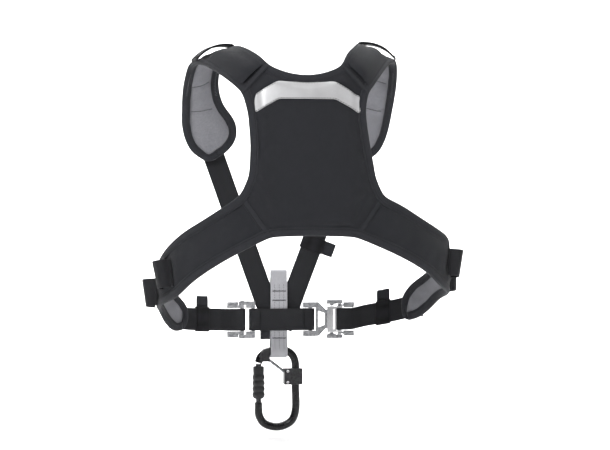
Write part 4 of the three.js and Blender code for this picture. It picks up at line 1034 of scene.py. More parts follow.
def make_bindings():
    wide = BACK.shape[1]
    hem = edge_run(BACK, "start")[6:wide - 6]
    neck = edge_run(BACK, "end")[6:wide - 6]
    strap_l, strap_r = STRAPS["left"], STRAPS["right"]
    wing_l, wing_r = WINGS["left"], WINGS["right"]
    turn = 3        # stations by which the armhole tape goes on past each corner
    strap_neck_l, strap_neck_r = reverse(edge_run(strap_l, "second")), edge_run(strap_r, "first")
    wing_hem_l, wing_hem_r = reverse(edge_run(wing_l, "first")), edge_run(wing_r, "second")
    neck_run = joined_runs(strap_neck_l[turn - 1:], neck, strap_neck_r[:1 - turn])
    hem_run = joined_runs(wing_hem_l[turn - 1:], hem, wing_hem_r[:1 - turn])
    left_run = joined_runs(reverse(wing_hem_l[:turn]), edge_run(wing_l, "end"),
                           reverse(edge_run(wing_l, "second")), edge_run(BACK, "first"),
                           edge_run(strap_l, "first"), edge_run(strap_l, "end"),
                           strap_neck_l[:turn])
    right_run = joined_runs(wing_hem_r[-turn:], reverse(edge_run(wing_r, "end")),
                            reverse(edge_run(wing_r, "first")), edge_run(BACK, "second"),
                            edge_run(strap_r, "second"), reverse(edge_run(strap_r, "end")),
                            reverse(strap_neck_r[-turn:]))
    make_binding("hem_tape", "hem_binding", hem_run)
    return [make_binding("neck_tape", "neck_binding", neck_run),
            make_binding("armhole_tape_left", "armhole_binding_left", left_run),
            make_binding("armhole_tape_right", "armhole_binding_right", right_run)]


SHOULDER_RUNS = make_bindings()


def make_seam_tape(name, first, second, normals):
    """A flat tape over the seam where a strap or wing meets the back panel."""
    way = unit(second - first) * SEAM_TAPE_HALF
    columns = np.stack([first + way * t for t in (-1, -0.5, 0, 0.5, 1)], axis=0)
    columns = np.stack([even_rail(c, 0.004) for c in columns])
    facing = unit(np.column_stack([np.interp(np.linspace(0, 1, columns.shape[1]),
                                             np.linspace(0, 1, len(normals)), normals[:, k])
                                   for k in range(3)]))
    heights = np.array([0.0021, 0.0026, 0.0023, 0.0026, 0.0021])[:, None]
    heights = np.repeat(heights, columns.shape[1], axis=1)
    facing = np.repeat(facing[None], 5, axis=0)
    outer = two_sided(name, columns, heights, heights - 0.0009, facing, [TAPE])
    put(subdivided(face_outwards(outer)), "binding_tape")
    for k in (0, 4):
        line = columns[k] * 0.75 + columns[2] * 0.25 + facing[k] * 0.0026
        sew_line(line, np.gradient(line, axis=0))


def make_seam_tapes():
    for side in ("left", "right"):
        for name, grid in ((f"wing_seam_tape_{side}", WINGS[side]),
                           (f"shoulder_seam_tape_{side}", STRAPS[side])):
            make_seam_tape(name, grid[0], grid[1], NORMALS[id(grid)][0])


make_seam_tapes()

# ----------------------------------------------------- parts sewn on the pads


def make_reflector():
    """The light band across the upper back, lying on the cover."""
    stations = smooth_rail(REFLECTOR_STATIONS, 1)
    xs = np.linspace(REFLECTOR_FROM_X, REFLECTOR_TO_X, 43)
    lower = [look_up(stations[:, [0, 1]], abs(x)) for x in xs]
    upper = [look_up(stations[:, [0, 2]], abs(x)) for x in xs]
    grid = np.array([[back_point(x, mix(low, high, t)) for x, low, high in zip(xs, lower, upper)]
                     for t in np.linspace(0, 1, 7)])
    normals = grid_normals(grid)
    heights = np.empty(grid.shape[:2])
    for i in range(grid.shape[0]):
        for k, x in enumerate(xs):
            side_gap = REFLECTOR_SIDE - abs(x)
            neck_gap = neck_at(min(1, abs(x) / REFLECTOR_NECK_REACH)) - grid[i, k, 2]
            heights[i, k] = foam_half(side_gap, neck_gap, BACK_HALF)
    heights += REFLECTOR_LIFT * smoothstep(heights, EDGE_HALF, BACK_HALF) + 0.0012
    band = two_sided("reflective_band", grid, heights, heights - REFLECTOR_THICK, normals,
                     [REFLECTOR])
    put(subdivided(face_outwards(band)), "reflector", "reflective_strip")
    for row, inner in ((0, 1), (6, 5)):
        line = mix(grid[row], grid[inner], 0.37) + normals[row] * (heights[row][:, None] + 0.0001)
        sew_line(line, np.gradient(line, axis=0))


def webbing_section(width, thick):
    """Flat strap seen end on, with rounded selvedges."""
    half, edge = width / 2, thick / 2
    top = [(x, edge) for x in np.linspace(half - edge, -half + edge, 11)]
    left = [(-half + edge - edge * math.sin(a), edge * math.cos(a)) for a in (0.6, 1.2, 1.94, 2.54)]
    under = [(-x, -edge) for x, _ in top]
    right = [(-x, -y) for x, y in left]
    return np.array(top + left + under + right)


def make_strap(name, at, wide, out, width, thick, material, closed=False, waves=0.00015):
    """Webbing along a path; `wide` and `out` are one direction or one to a station."""
    at = np.asarray(at, float)
    wide = np.broadcast_to(np.asarray(wide, float), at.shape)
    out = np.broadcast_to(np.asarray(out, float), at.shape)
    if not closed:
        at = at + unit(out) * (waves * ripple(arc_lengths(at), 0.024, len(name)))[:, None]
    return swept(name, at, unit(wide), unit(out), webbing_section(width, thick), [material],
                 closed)


def belt_frame(path):
    """A belt's middle line, the directions away from the wearer, and its sense in x."""
    middle = smooth_rail([(x, y, z + BELT_Z) for x, y, z in path], 6)
    towards = math.copysign(1, path[1][0] - path[0][0])
    way = np.gradient(middle, axis=0)
    out = unit(np.column_stack([-way[:, 1], way[:, 0], np.zeros(len(way))])) * towards
    return middle, out, towards


def folded_belt(path, tail_from):
    """A belt that comes from the wing, turns round its bar and doubles back."""
    middle, out, towards = belt_frame(path)
    half = mix(WRAP_RADIUS, LAYER_HALF, np.minimum(1, arc_lengths(middle) / CONVERGE))[:, None]
    inner = middle - out * half
    outer = (middle + out * half)[:6 * tail_from + 1]
    x, y, z = middle[0]
    turn = [(x - towards * WRAP_RADIUS * math.sin(a), y - WRAP_RADIUS * math.cos(a), z)
            for a in np.linspace(0, math.pi, 13)]
    return even_rail(np.vstack([inner[:0:-1], turn, outer[1:]]), 0.0016)


def make_side_belts():
    for side, path in (("left", BELT_LEFT_PATH), ("right", BELT_RIGHT_PATH)):
        points = folded_belt(path, 3)
        level_way = np.gradient(points, axis=0) * (1, 1, 0)
        belt = make_strap(f"side_belt_{side}", points, UP, np.cross(unit(level_way), UP), WEB_WIDTH,
                          WEB_THICK, WEBBING)
        put(belt, "webbing", f"belt_webbing_{side}")
        middle, face, _ = belt_frame(path)
        lap = even_rail(middle[-9:-1], 0.0035)
        for sign in (-1, 1):
            bound_stitches(lap, face[-5] * sign, WEB_WIDTH / 2 - 0.004, 0.0011)
        folded_ribs(middle, face)


def make_centre_band():
    """The closed band between the two buckles' bars."""
    ring = []
    for x, start in ((BAND_RIGHT, -90), (BAND_LEFT, 90)):
        for k in range(11):
            a = math.radians(start + 18 * k)
            ring.append((x + BAND_HALF_GAP * math.cos(a), BELT_Y + BAND_HALF_GAP * math.sin(a),
                         BELT_Z, math.cos(a), math.sin(a), 0))
    ring = stepped_ring(ring)
    band = make_strap("chest_band", ring[:, :3], UP, ring[:, 3:], WEB_WIDTH, WEB_THICK, WEBBING,
                      True)
    put(band, "webbing", "centre_band")
    for x in (BAND_LEFT + 0.009, BAND_RIGHT - 0.009):
        for face in (-1, 1):
            y = BELT_Y + face * (BAND_HALF_GAP + 0.00105)
            rows = [(x, y, BELT_Z + z) for z in np.linspace(-0.0125, 0.0125, 12)]
            sew_line(rows, (1.0, 0, 0), *BAR_TACK)


def folded_ribs(middle, face):
    """Cross ribs on the belt layer behind the buckle, laid as rows of stitches."""
    lengths = arc_lengths(middle)
    for along in np.arange(RIBS_FROM, RIBS_TO, RIB_PITCH):
        at = np.array([np.interp(along, lengths, middle[:, k]) for k in range(3)])
        out = unit(np.array([np.interp(along, lengths, face[:, k]) for k in range(3)]))
        half = mix(WRAP_RADIUS, LAYER_HALF, min(1, along / CONVERGE)) + WEB_THICK / 2
        rows = np.array([at - out * half + UP * z for z in np.linspace(-0.013, 0.013, 5)])
        sew_line(rows, out, pitch=0.0022)


def bound_stitches(line, face, half_width, lift):
    """A sewn box with a cross, over a lapped strap end."""
    way = unit(line[-1] - line[0])
    wide = unit(np.cross(face, way))
    a, b = line[0] + way * 0.003, line[-1] - way * 0.003
    up = np.asarray(face) * lift
    corners = [a + wide * half_width, b + wide * half_width, b - wide * half_width,
               a - wide * half_width]
    lines = [(corners[k], corners[(k + 1) % 4]) for k in range(4)]
    lines += [(corners[0], corners[2]), (corners[1], corners[3])]
    for p, q in lines:
        sew_line(np.array([p, mix(p, q, 0.5), q]) + up, wide, pitch=0.0028)


def diagonal_point(side, z):
    top_x, top_y, top_z = DIAGONAL_TOP
    left_x = top_x + (top_z - z) * DIAGONAL_SLOPE
    x = DIAGONAL_CENTRE_X + side * (DIAGONAL_CENTRE_X - left_x)
    table = [(DIAGONAL_LEVEL_Z, DIAGONAL_LEFT_Y if side < 0 else DIAGONAL_RIGHT_Y),
             DIAGONAL_BEND, (top_z, top_y)]
    return np.array((x, look_up(table, max(z, DIAGONAL_LEVEL_Z)), z))


def make_diagonals():
    for name, side in (("left", -1), ("right", 1)):
        heights = np.linspace(DIAGONAL_TOP[2] + DIAGONAL_LAP, DIAGONAL_END_Z, 70)
        points = np.array([diagonal_point(side, z) for z in heights])
        for _ in range(8):
            points[1:-1, 1] = (points[:-2, 1] + 2 * points[1:-1, 1] + points[2:, 1]) / 4
        wide = unit((1, 0, -side * DIAGONAL_SLOPE))
        out = np.cross(wide, np.gradient(points, axis=0))
        strap = make_strap(f"diagonal_strap_{name}", points, wide, out, DIAGONAL_WIDTH, WEB_THICK,
                           WEBBING, waves=0.0002)
        put(strap, "webbing", f"diagonal_webbing_{name}")
        bound_stitches(points[1:9], (0.0, 1.0, 0.0), DIAGONAL_WIDTH / 2 - 0.004, 0.0012)


def make_keeper(name, node, at, way, wide, out, width, stack):
    """Elastic ring round a strap, with its folded tab standing past one edge."""
    half_w, half_t = width / 2 + KEEPER_GAP, stack / 2 + KEEPER_GAP
    wall, reach = KEEPER_WALL, KEEPER_LENGTH / 2
    profile = [(wall, -reach + 0.0005), (wall, 0), (wall, reach - 0.0005), (wall * 0.6, reach),
               (wall * 0.1, reach), (0.0, reach - 0.0005), (0.0, -reach + 0.0005),
               (wall * 0.1, -reach), (wall * 0.6, -reach)]
    rings, sides = [], 32
    for grow, along in profile:
        r = 0.0006 + grow
        for k in range(sides):
            a = 2 * math.pi * (k + 0.5) / sides
            c, s = math.cos(a), math.sin(a)
            w = (half_w - 0.0006) * (1 if c > 0 else -1) + r * c
            t = (half_t - 0.0006) * (1 if s > 0 else -1) + r * s
            rings.append(at + way * along + wide * w + out * t)
    faces, uvs = [], []
    count = len(profile)
    for i in range(count):
        m = (i + 1) % count
        for k in range(sides):
            n = (k + 1) % sides
            faces.append((i * sides + k, i * sides + n, m * sides + n, m * sides + k))
            a0, a1 = k / sides * 0.07, (k + 1) / sides * 0.07
            p0, p1 = profile[i][1], profile[m][1]
            uvs += [(p0, a0), (p0, a1), (p1, a1), (p1, a0)]
    ring = face_outwards(mesh_object(name, rings, faces, uvs, [ELASTIC]))
    put(ring, "elastic", node)
    low, high = half_w + wall * 0.6, half_w + KEEPER_TAB
    section = webbing_section(KEEPER_LENGTH - 0.0006, 0.0016)
    levels = np.linspace(low, high, 7)
    centres = np.array([at + wide * level for level in levels])
    shrink = np.array([1, 1, 1, 1, 1, 0.985, 0.93])
    tab = swept(f"{name}_tab", centres, np.tile(way, (7, 1)), np.tile(out, (7, 1)), section,
                [TAPE], scales=shrink)
    put(tab, "elastic", body=BODY_OF[node])
    for face in (-1, 1):
        rows = [at + wide * (low + 0.0028) + way * s + out * face * 0.0008
                for s in np.linspace(-reach + 0.001, reach - 0.001, 6)]
        sew_line(rows, wide, pitch=0.0024, body=BODY_OF[node])


def make_keepers():
    stack = 2 * LAYER_HALF + WEB_THICK
    for name, path in (("left", BELT_LEFT_PATH), ("right", BELT_RIGHT_PATH)):
        a, b = np.array(path[2]), np.array(path[3])
        at = mix(a, b, KEEPER_SHARES[name]) + UP * BELT_Z
        way = unit(b - a)
        out = np.cross(UP, unit(way * (1, 1, 0)))
        make_keeper(f"side_keeper_{name}", f"belt_keeper_{name}", at, way, UP, out, WEB_WIDTH, stack)
    low, high = diagonal_point(1, 0.040), diagonal_point(1, 0.120)
    way = unit(high - low)
    wide = unit((1, 0, -DIAGONAL_SLOPE))
    out = unit(np.cross(wide, way))
    at = mix(low, high, (STRAP_KEEPER_Z - 0.040) / 0.080)
    make_keeper("diagonal_keeper", "strap_keeper", at, way, wide, out, DIAGONAL_WIDTH, WEB_THICK)


def make_attachment_loop():
    points = [(BIGHT_Y + BIGHT_RADIUS * math.cos(a), BIGHT_Z + BIGHT_RADIUS * math.sin(a))
              for a in np.linspace(math.pi, 2 * math.pi, 15)]
    near, far = BIGHT_Y - PINCH_HALF, BIGHT_Y + PINCH_HALF
    turn_z = LOOP_TOP_Z - LOOP_THICK / 2 - PINCH_HALF
    points += [(LOOP_FRONT_Y, BIGHT_Z + LOOP_GATHER), (LOOP_FRONT_Y, PINCH_FROM), (far, PINCH_TO),
               (far, turn_z), (BIGHT_Y, turn_z + PINCH_HALF), (near, turn_z), (near, PINCH_TO),
               (LOOP_BACK_Y, PINCH_FROM), (LOOP_BACK_Y, BIGHT_Z + LOOP_GATHER)]
    at = stepped_ring([(LOOP_X, y, z) for y, z in points])
    way = unit(np.roll(at, -1, axis=0) - np.roll(at, 1, axis=0))
    out = np.column_stack([np.zeros(len(at)), way[:, 2], -way[:, 1]])
    loop = make_strap("grey_loop", at, (1.0, 0, 0), out, LOOP_WIDTH, LOOP_THICK, GREY_WEBBING,
                      True)
    put(loop, "grey_webbing", "attachment_loop")
    half = LOOP_WIDTH / 2 - 0.0022
    for face in (-1, 1):
        for z in BAR_TACK_HEIGHTS:
            rows = [(LOOP_X + x, loop_face(z, face), z) for x in np.linspace(-half, half, 10)]
            sew_line(rows, UP, 0.0030, 0.0009, BLACK_THREAD)
        for x in (-0.0058, 0.0002, 0.0062):
            rows = [(LOOP_X + x, loop_face(z, face), z)
                    for z in np.linspace(BIGHT_Z + 0.002, PINCH_FROM, 28)]
            sew_line(rows, (1.0, 0, 0), pitch=0.0032, thread=GREY_THREAD)


def loop_face(z, face):
    """Y of the loop's back or front face at a height."""
    level = LOOP_BACK_Y if face < 0 else LOOP_FRONT_Y
    share = min(1, (z - BIGHT_Z) / LOOP_GATHER)
    return mix(BIGHT_Y + face * BIGHT_RADIUS, level, share) + face * (LOOP_THICK / 2 + 0.0001)


def wing_normal(side, angle):
    reach = TORSO_REACH_LEFT if side < 0 else TORSO_REACH_RIGHT
    a = math.radians(angle)
    return unit((side * TORSO_DEPTH * math.sin(a), -reach * math.cos(a), 0))


def tool_loop_point(side, angle, z, away, lift):
    """A point of a loop's middle layer, some way along the wing and off its face."""
    reach = TORSO_REACH_LEFT if side < 0 else TORSO_REACH_RIGHT
    a = math.radians(angle)
    stretch = math.hypot(reach * math.cos(a), TORSO_DEPTH * math.sin(a))
    at = angle + math.degrees(away / stretch)
    flush = WING_HALF + TOOL_LOOP_GAP + TOOL_LOOP_THICK / 2
    return wing_point(side, at, z - away * TOOL_LOOP_SLOPE) + wing_normal(side, at) * (flush + lift)


def make_tool_loops():
    lap, span, rise = TOOL_LOOP_LAP, TOOL_LOOP_SPAN, TOOL_LOOP_RISE
    inner = span - 2 * lap
    profile = [(0, 0), (lap, 0)]
    profile += [(lap + inner * t, rise * up) for t, up in ((0.12, 0.6), (0.3, 0.96), (0.5, 1.0),
                                                           (0.7, 0.96), (0.88, 0.6))]
    profile += [(span - lap, 0), (span, 0)]
    for name, side, angle, z in TOOL_LOOPS:
        control = [tool_loop_point(side, angle, z, away - span / 2, lift) for away, lift in profile]
        at = even_rail(smooth_rail(control, 8), 0.0012)
        run = at[-1] - at[0]
        wide = unit(np.cross(wing_normal(side, angle), run))
        shares = arc_lengths(at) / arc_lengths(at)[-1]
        lean = (TOOL_LOOP_LEAN * np.sin(math.pi * shares) ** 2)[:, None] * math.copysign(1, wide[2])
        wides = unit(wide + wing_normal(side, angle) * lean)
        outs = np.cross(np.gradient(at, axis=0), wides) * side
        loop = make_strap(name.replace("tool_loop", "gear_loop"), at, wides, outs, TOOL_LOOP_WIDTH,
                          TOOL_LOOP_THICK, WEBBING, waves=0.0001)
        put(loop, "webbing", name)
        for k in (1, -2):
            face = wing_normal(side, angle) * (TOOL_LOOP_THICK / 2)
            rows = [at[k] + face + wide * s for s in np.linspace(-0.015, 0.015, 8)]
            sew_line(rows, run, 0.0020, 0.0011)


def make_bridges():
    """The webbing arch over each shoulder, and the fabric sleeve below it."""
    for side in ("left", "right"):
        grid, normals = STRAPS[side], NORMALS[id(STRAPS[side])]
        row = BRIDGE_ROW
        first, last = grid[row, 0], grid[row, -1]
        way = unit(grid[row + 3, 5] - grid[row - 3, 5])
        width = np.linalg.norm(last - first)
        crown = STRAP_HALF + 0.0005 + BRIDGE_THICK / 2 + BRIDGE_RISE
        at, outs = [], []
        for along in np.linspace(0, 1, BRIDGE_STATIONS):
            t = mix(BRIDGE_LAP, width - BRIDGE_LAP, along) / width
            out = unit(mix(normals[row, 0], normals[row, -1], t))
            bow = max(0.0, math.sin(math.pi * along)) ** 0.8
            at.append(mix(first, last, t) + out * mix(BRIDGE_FOOT, crown, bow))
            outs.append(out)
        arch = make_strap(f"shoulder_arch_{side}", at, way, outs, BRIDGE_WIDTH, BRIDGE_THICK,
                          WEBBING, waves=0.0001)
        put(arch, "webbing", f"bridge_loop_{side}")
        for k in (1, BRIDGE_STATIONS - 2):
            rows = [at[k] + outs[k] * BRIDGE_THICK / 2 + way * s
                    for s in np.linspace(-0.008, 0.008, 8)]
            sew_line(rows, at[2] - at[1], 0.0022, 0.0011)
        make_shoulder_sleeve(side, grid, normals)


def make_shoulder_sleeve(side, grid, normals):
    """An open fabric sleeve on the shoulder strap."""
    rows = slice(2, 18)
    patch, facing = grid[rows, 1:-1].copy(), normals[rows, 1:-1]
    across, along, _, _ = border_distance(grid)
    edge = np.linspace(-1, 1, patch.shape[1])[None, :]
    heights = foam_half(across, along + 0.008, STRAP_HALF)[rows, 1:-1] + 0.0016
    heights = heights + 0.0016 * (1 - edge ** 2)
    heights = np.maximum(heights, 0.0036)
    sleeve = two_sided(f"shoulder_sleeve_{side}", patch, heights, heights - 0.0008, facing,
                       [COVER, COVER])
    put(subdivided(face_outwards(sleeve)), "cover_fabric")


def make_label():
    low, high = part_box("size_label")
    centre = np.array((low + high) / 2)
    height = high.z - low.z
    at = np.array([centre + UP * s for s in np.linspace(-height / 2, height / 2, 9)])
    label = make_strap("fabric_tab", at, (1.0, 0, 0), (0, 1.0, 0), high.x - low.x, 0.001, TAPE,
                       waves=0.0001)
    put(label, "binding_tape", "size_label")


make_reflector()
make_side_belts()
make_centre_band()
make_diagonals()
make_keepers()
make_attachment_loop()
make_tool_loops()
make_bridges()
make_label()

# -------------------------------------------------------------- stitching


def stitch_tree():
    """Thread laid along a line: straight, or zigzag where a width is given."""
    tree = bpy.data.node_groups.new("stitches", "GeometryNodeTree")
    tree.interface.new_socket("Line", in_out="INPUT", socket_type="NodeSocketGeometry")
    for name, value in (("Pitch", STITCH_PITCH), ("Zigzag", 0.0), ("Thread Radius", THREAD_RADIUS),
                        ("Fill", 0.78)):
        socket = tree.interface.new_socket(name, in_out="INPUT", socket_type="NodeSocketFloat")
        socket.default_value = value
    tree.interface.new_socket("Thread", in_out="INPUT", socket_type="NodeSocketMaterial")
    tree.interface.new_socket("Stitches", in_out="OUTPUT", socket_type="NodeSocketGeometry")
    given = tree.nodes.new("NodeGroupInput").outputs
    result = tree.nodes.new("NodeGroupOutput").inputs
    curve = add(tree, "GeometryNodeMeshToCurve", {"Mesh": given["Line"]}).outputs[0]
    even = add(tree, "GeometryNodeResampleCurve", {"Curve": curve, "Length": given["Pitch"]},
               mode="LENGTH").outputs[0]
    across = add(tree, "GeometryNodeInputNamedAttribute", {"Name": "across"},
                 data_type="FLOAT_VECTOR").outputs[0]
    number = tree.nodes.new("GeometryNodeInputIndex").outputs[0]
    side = math_node(tree, "SUBTRACT", math_node(tree, "PINGPONG", number, 1.0), 0.5)
    reach = math_node(tree, "MULTIPLY", side, given["Zigzag"])
    offset = add(tree, "ShaderNodeVectorMath", {0: across, "Scale": reach},
                 operation="SCALE").outputs[0]
    moved = add(tree, "GeometryNodeSetPosition", {"Geometry": even, "Offset": offset}).outputs[0]
    wire = add(tree, "GeometryNodeCurveToMesh", {"Curve": moved}).outputs[0]
    ends = tree.nodes.new("GeometryNodeInputMeshEdgeVertices").outputs
    span = add(tree, "ShaderNodeVectorMath", {0: ends["Position 2"], 1: ends["Position 1"]},
               operation="SUBTRACT").outputs[0]
    capture = tree.nodes.new("GeometryNodeCaptureAttribute")
    capture.domain = "EDGE"
    capture.capture_items.new("VECTOR", "Span")
    tree.links.new(wire, capture.inputs["Geometry"])
    tree.links.new(span, capture.inputs["Span"])
    spots = add(tree, "GeometryNodeMeshToPoints", {"Mesh": capture.outputs["Geometry"]},
                mode="EDGES").outputs[0]
    kept = capture.outputs["Span"]
    turn = add(tree, "FunctionNodeAlignRotationToVector", {"Vector": kept}, axis="Z").outputs[0]
    length = add(tree, "ShaderNodeVectorMath", {0: kept}, operation="LENGTH").outputs["Value"]
    half = math_node(tree, "MULTIPLY", math_node(tree, "MULTIPLY", length, 0.5), given["Fill"])
    size = add(tree, "ShaderNodeCombineXYZ", {0: given["Thread Radius"], 1: given["Thread Radius"],
                                              2: half}).outputs[0]
    bead = add(tree, "GeometryNodeMeshUVSphere", {"Segments": 6, "Rings": 4,
                                                  "Radius": 1.0}).outputs[0]
    copies = add(tree, "GeometryNodeInstanceOnPoints", {"Points": spots, "Instance": bead,
                                                        "Rotation": turn, "Scale": size}).outputs[0]
    solid = add(tree, "GeometryNodeRealizeInstances", {"Geometry": copies}).outputs[0]
    coated = add(tree, "GeometryNodeSetMaterial", {"Geometry": solid, "Material": given["Thread"]})
    tree.links.new(coated.outputs[0], result["Stitches"])
    return tree


def run_stitches(tree, lines, zigzag, pitch, material):
    """One object of stitches along several lines."""
    mesh = bpy.data.meshes.new("stitch_line")
    points, edges, across = [], [], []
    for line, side in lines:
        start = len(points)
        points += [tuple(p) for p in line]
        across += [tuple(s) for s in unit(side)]
        edges += [(k, k + 1) for k in range(start, len(points) - 1)]
    mesh.from_pydata(points, edges, [])
    mesh.attributes.new("across", "FLOAT_VECTOR", "POINT").data.foreach_set(
        "vector", np.array(across, np.float32).ravel())
    obj = bpy.data.objects.new("stitches", mesh)
    bpy.context.scene.collection.objects.link(obj)
    modifier = obj.modifiers.new("Stitches", "NODES")
    modifier.node_group = tree
    values = {"Pitch": pitch, "Zigzag": zigzag, "Thread": material}
    for item in tree.interface.items_tree:
        if item.in_out == "INPUT" and item.name in values:
            modifier[item.identifier] = values[item.name]
    return plain_mesh(obj)


def sew():
    tree = stitch_tree()
    batches = {}
    for line, across, zigzag, pitch, thread_used, body in STITCH_LINES:
        key = (zigzag, pitch, thread_used.name, body)
        batches.setdefault(key, []).append((line, across))
    merged = {}
    for (zigzag, pitch, material, body), lines in batches.items():
        made = run_stitches(tree, lines, zigzag, pitch, bpy.data.materials[material])
        merged.setdefault((material, body), []).append(made)
    for (material, body), parts in merged.items():
        sewn = joined(parts, f"stitching_{material.split('_')[0]}_{body}")
        sewn.data.polygons.foreach_set("use_smooth", [True] * len(sewn.data.polygons))
        put(sewn, "binding_tape", body=body)


def shoulder_zigzags():
    """Light zigzag sewing on the binding, on the front half of each shoulder."""
    for run in SHOULDER_RUNS:
        edge, inward, normal, _ = tape_frames(run)
        kept = (edge[:, 1] > ZIGZAG_FROM_Y) & (edge[:, 2] > ZIGZAG_LOW) & (edge[:, 2] < ZIGZAG_HIGH)
        for side in (-1, 1):
            here = kept & (edge[:, 0] * side > 0)
            if np.count_nonzero(here) > 2:
                rows = edge[here] + inward[here] * 0.0045 - normal[here] * 0.0033
                sew_line(rows, inward[here], 0.0036, 0.0021, LIGHT_THREAD)


shoulder_zigzags()
sew()

# --------------------------------------------------------------- hardware


def rim_marked(obj, faces_on_rim):
    """Marks the bevelled faces, so that the finish can wear there."""
    data = np.zeros(len(obj.data.loops), np.float32)
    for polygon in obj.data.polygons:
        if faces_on_rim[polygon.index]:
            data[list(polygon.loop_indices)] = 1.0
    old = obj.data.attributes.get("rim")
    if old:
        obj.data.attributes.remove(old)
    obj.data.attributes.new("rim", "FLOAT", "CORNER").data.foreach_set("value", data)


def bevelled(obj, width, segments=3):
    """Rounds the sharp edges of a closed mesh and marks the new rims."""
    bm = bmesh.new()
    bm.from_mesh(obj.data)
    bmesh.ops.remove_doubles(bm, verts=bm.verts, dist=2e-6)
    bmesh.ops.dissolve_limit(bm, angle_limit=math.radians(1.5), verts=bm.verts, edges=bm.edges)
    sharp = [e for e in bm.edges if e.is_manifold and e.calc_face_angle() > math.radians(38)]
    before = set(bm.faces)
    bmesh.ops.bevel(bm, geom=sharp, offset=width, segments=segments, profile=0.5,
                    affect="EDGES", clamp_overlap=True)
    flat = {f for f in bm.faces if f in before}
    marks = []
    for face in bm.faces:
        face.smooth = True
        marks.append(face not in flat)
    bm.to_mesh(obj.data)
    bm.free()
    rim_marked(obj, marks)
    return weighted(obj)


def weighted(obj):
    """Shading that keeps the flat faces flat beside their rounded edges."""
    modifier = obj.modifiers.new("Shading", "WEIGHTED_NORMAL")
    modifier.keep_sharp = True
    return plain_mesh(obj)


def node_copy(name, node):
    obj = bpy.data.objects.new(name, frame["nodes"][node].data.copy())
    bpy.context.scene.collection.objects.link(obj)
    obj.data.materials.clear()
    return obj


def machined(name, node, width, material, slot):
    """A rounded, finished copy of a CAD node."""
    obj = node_copy(name, node)
    obj.data.materials.append(material)
    bevelled(obj, width)
    return put(obj, slot, node)


def make_buckles():
    for name, node, width in (("adjuster_body", "adjuster_frame", 0.0007),
                              ("adjuster_lever", "adjuster_rocker", 0.0007),
                              ("buckle_tongue_plate", "buckle_tongue", 0.0006),
                              ("buckle_lever", "buckle_rocker", 0.0006),
                              ("release_key_top", "release_tab_top", 0.0008),
                              ("release_key_bottom", "release_tab_bottom", 0.0008)):
        machined(name, node, width, BUCKLE_METAL, "buckle_metal")
    machined("receiver_body", "buckle_receiver", 0.0005, BRIGHT_METAL, "bright_metal")
    add_lever_plates()
    add_key_plates()
    add_grips()
    add_bar_ends()


def rounded_plate(name, node, half, x_span, z_span):
    """A buckle plate with rounded edges, centred in depth on a CAD node."""
    low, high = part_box(node)
    middle = (low.y + high.y) / 2
    plate = block(name, (x_span[0], middle - half, z_span[0]), (x_span[1], middle + half, z_span[1]))
    plate.data.materials.append(BUCKLE_METAL)
    return bevelled(plate, PLATE_ROUND)


def add_lever_plates():
    """Side plates of the two levers, above and below the belt edges."""
    for name, node, x0, x1 in LEVER_PLATES:
        low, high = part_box(node)
        spans = ((PLATE_GAP + BELT_Z + WEB_WIDTH / 2, high.z - PLATE_INSET),
                 (low.z + PLATE_INSET, BELT_Z - WEB_WIDTH / 2 - PLATE_GAP))
        plates = [rounded_plate("plate", node, LEVER_PLATE_HALF, (x0, x1), span) for span in spans]
        put(joined(plates, f"{name}_lever_plates"), "buckle_metal", body=BODY_OF[node])


def add_key_plates():
    """The pressed ends of the release keys, beside the receiver's cheeks."""
    x0, x1, near, far = KEY_PLATE
    for place, side in (("top", 1), ("bottom", -1)):
        node = f"release_tab_{place}"
        levels = sorted((BELT_Z + side * (near - BELT_Z), BELT_Z + side * (far - BELT_Z)))
        plate = rounded_plate(f"key_plate_{place}", node, KEY_PLATE_HALF, (x0, x1), levels)
        put(plate, "buckle_metal", body=BODY_OF[node])


def add_grips():
    """Raised grip ribs on both faces of the release keys."""
    for place in ("top", "bottom"):
        node = f"release_tab_{place}"
        low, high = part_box(node)
        z0, z1 = low.z + 0.0042, high.z - 0.0011
        for face, y in (("back", low.y), ("front", high.y)):
            ribs = [rib_between((x, y, z0), (x, y, z1), 0.00042)
                    for x in np.linspace(low.x + 0.0028, high.x - 0.0105, 6)]
            put(joined(ribs, f"grip_{place}_{face}"), "buckle_metal", body=BODY_OF[node])


def rib_between(start, end, radius):
    """A rounded raised bead between two points."""
    start, end = np.array(start), np.array(end)
    way = unit(end - start)
    side = unit(np.cross(way, (0.37, 0.81, 0.45)))
    up = np.cross(way, side)
    length = np.linalg.norm(end - start)
    sections = [(-1, 0.05), (-0.8, 0.6), (0, 1.0), (1, 1.0), (1.8, 0.6), (2, 0.05)]
    rows = []
    for k, (s, grow) in enumerate(sections):
        along = s * radius if k < 3 else length + (s - 1) * radius
        rows += [start + way * along + (side * math.cos(a) + up * math.sin(a)) * radius * grow
                 for a in np.linspace(0, 2 * math.pi, 8, endpoint=False)]
    faces = [(i * 8 + j, i * 8 + (j + 1) % 8, (i + 1) * 8 + (j + 1) % 8, (i + 1) * 8 + j)
             for i in range(len(sections) - 1) for j in range(8)]
    faces += [tuple(range(7, -1, -1)), tuple((len(sections) - 1) * 8 + j for j in range(8))]
    return face_outwards(mesh_object("bead", rows, faces, None, [BUCKLE_METAL]))


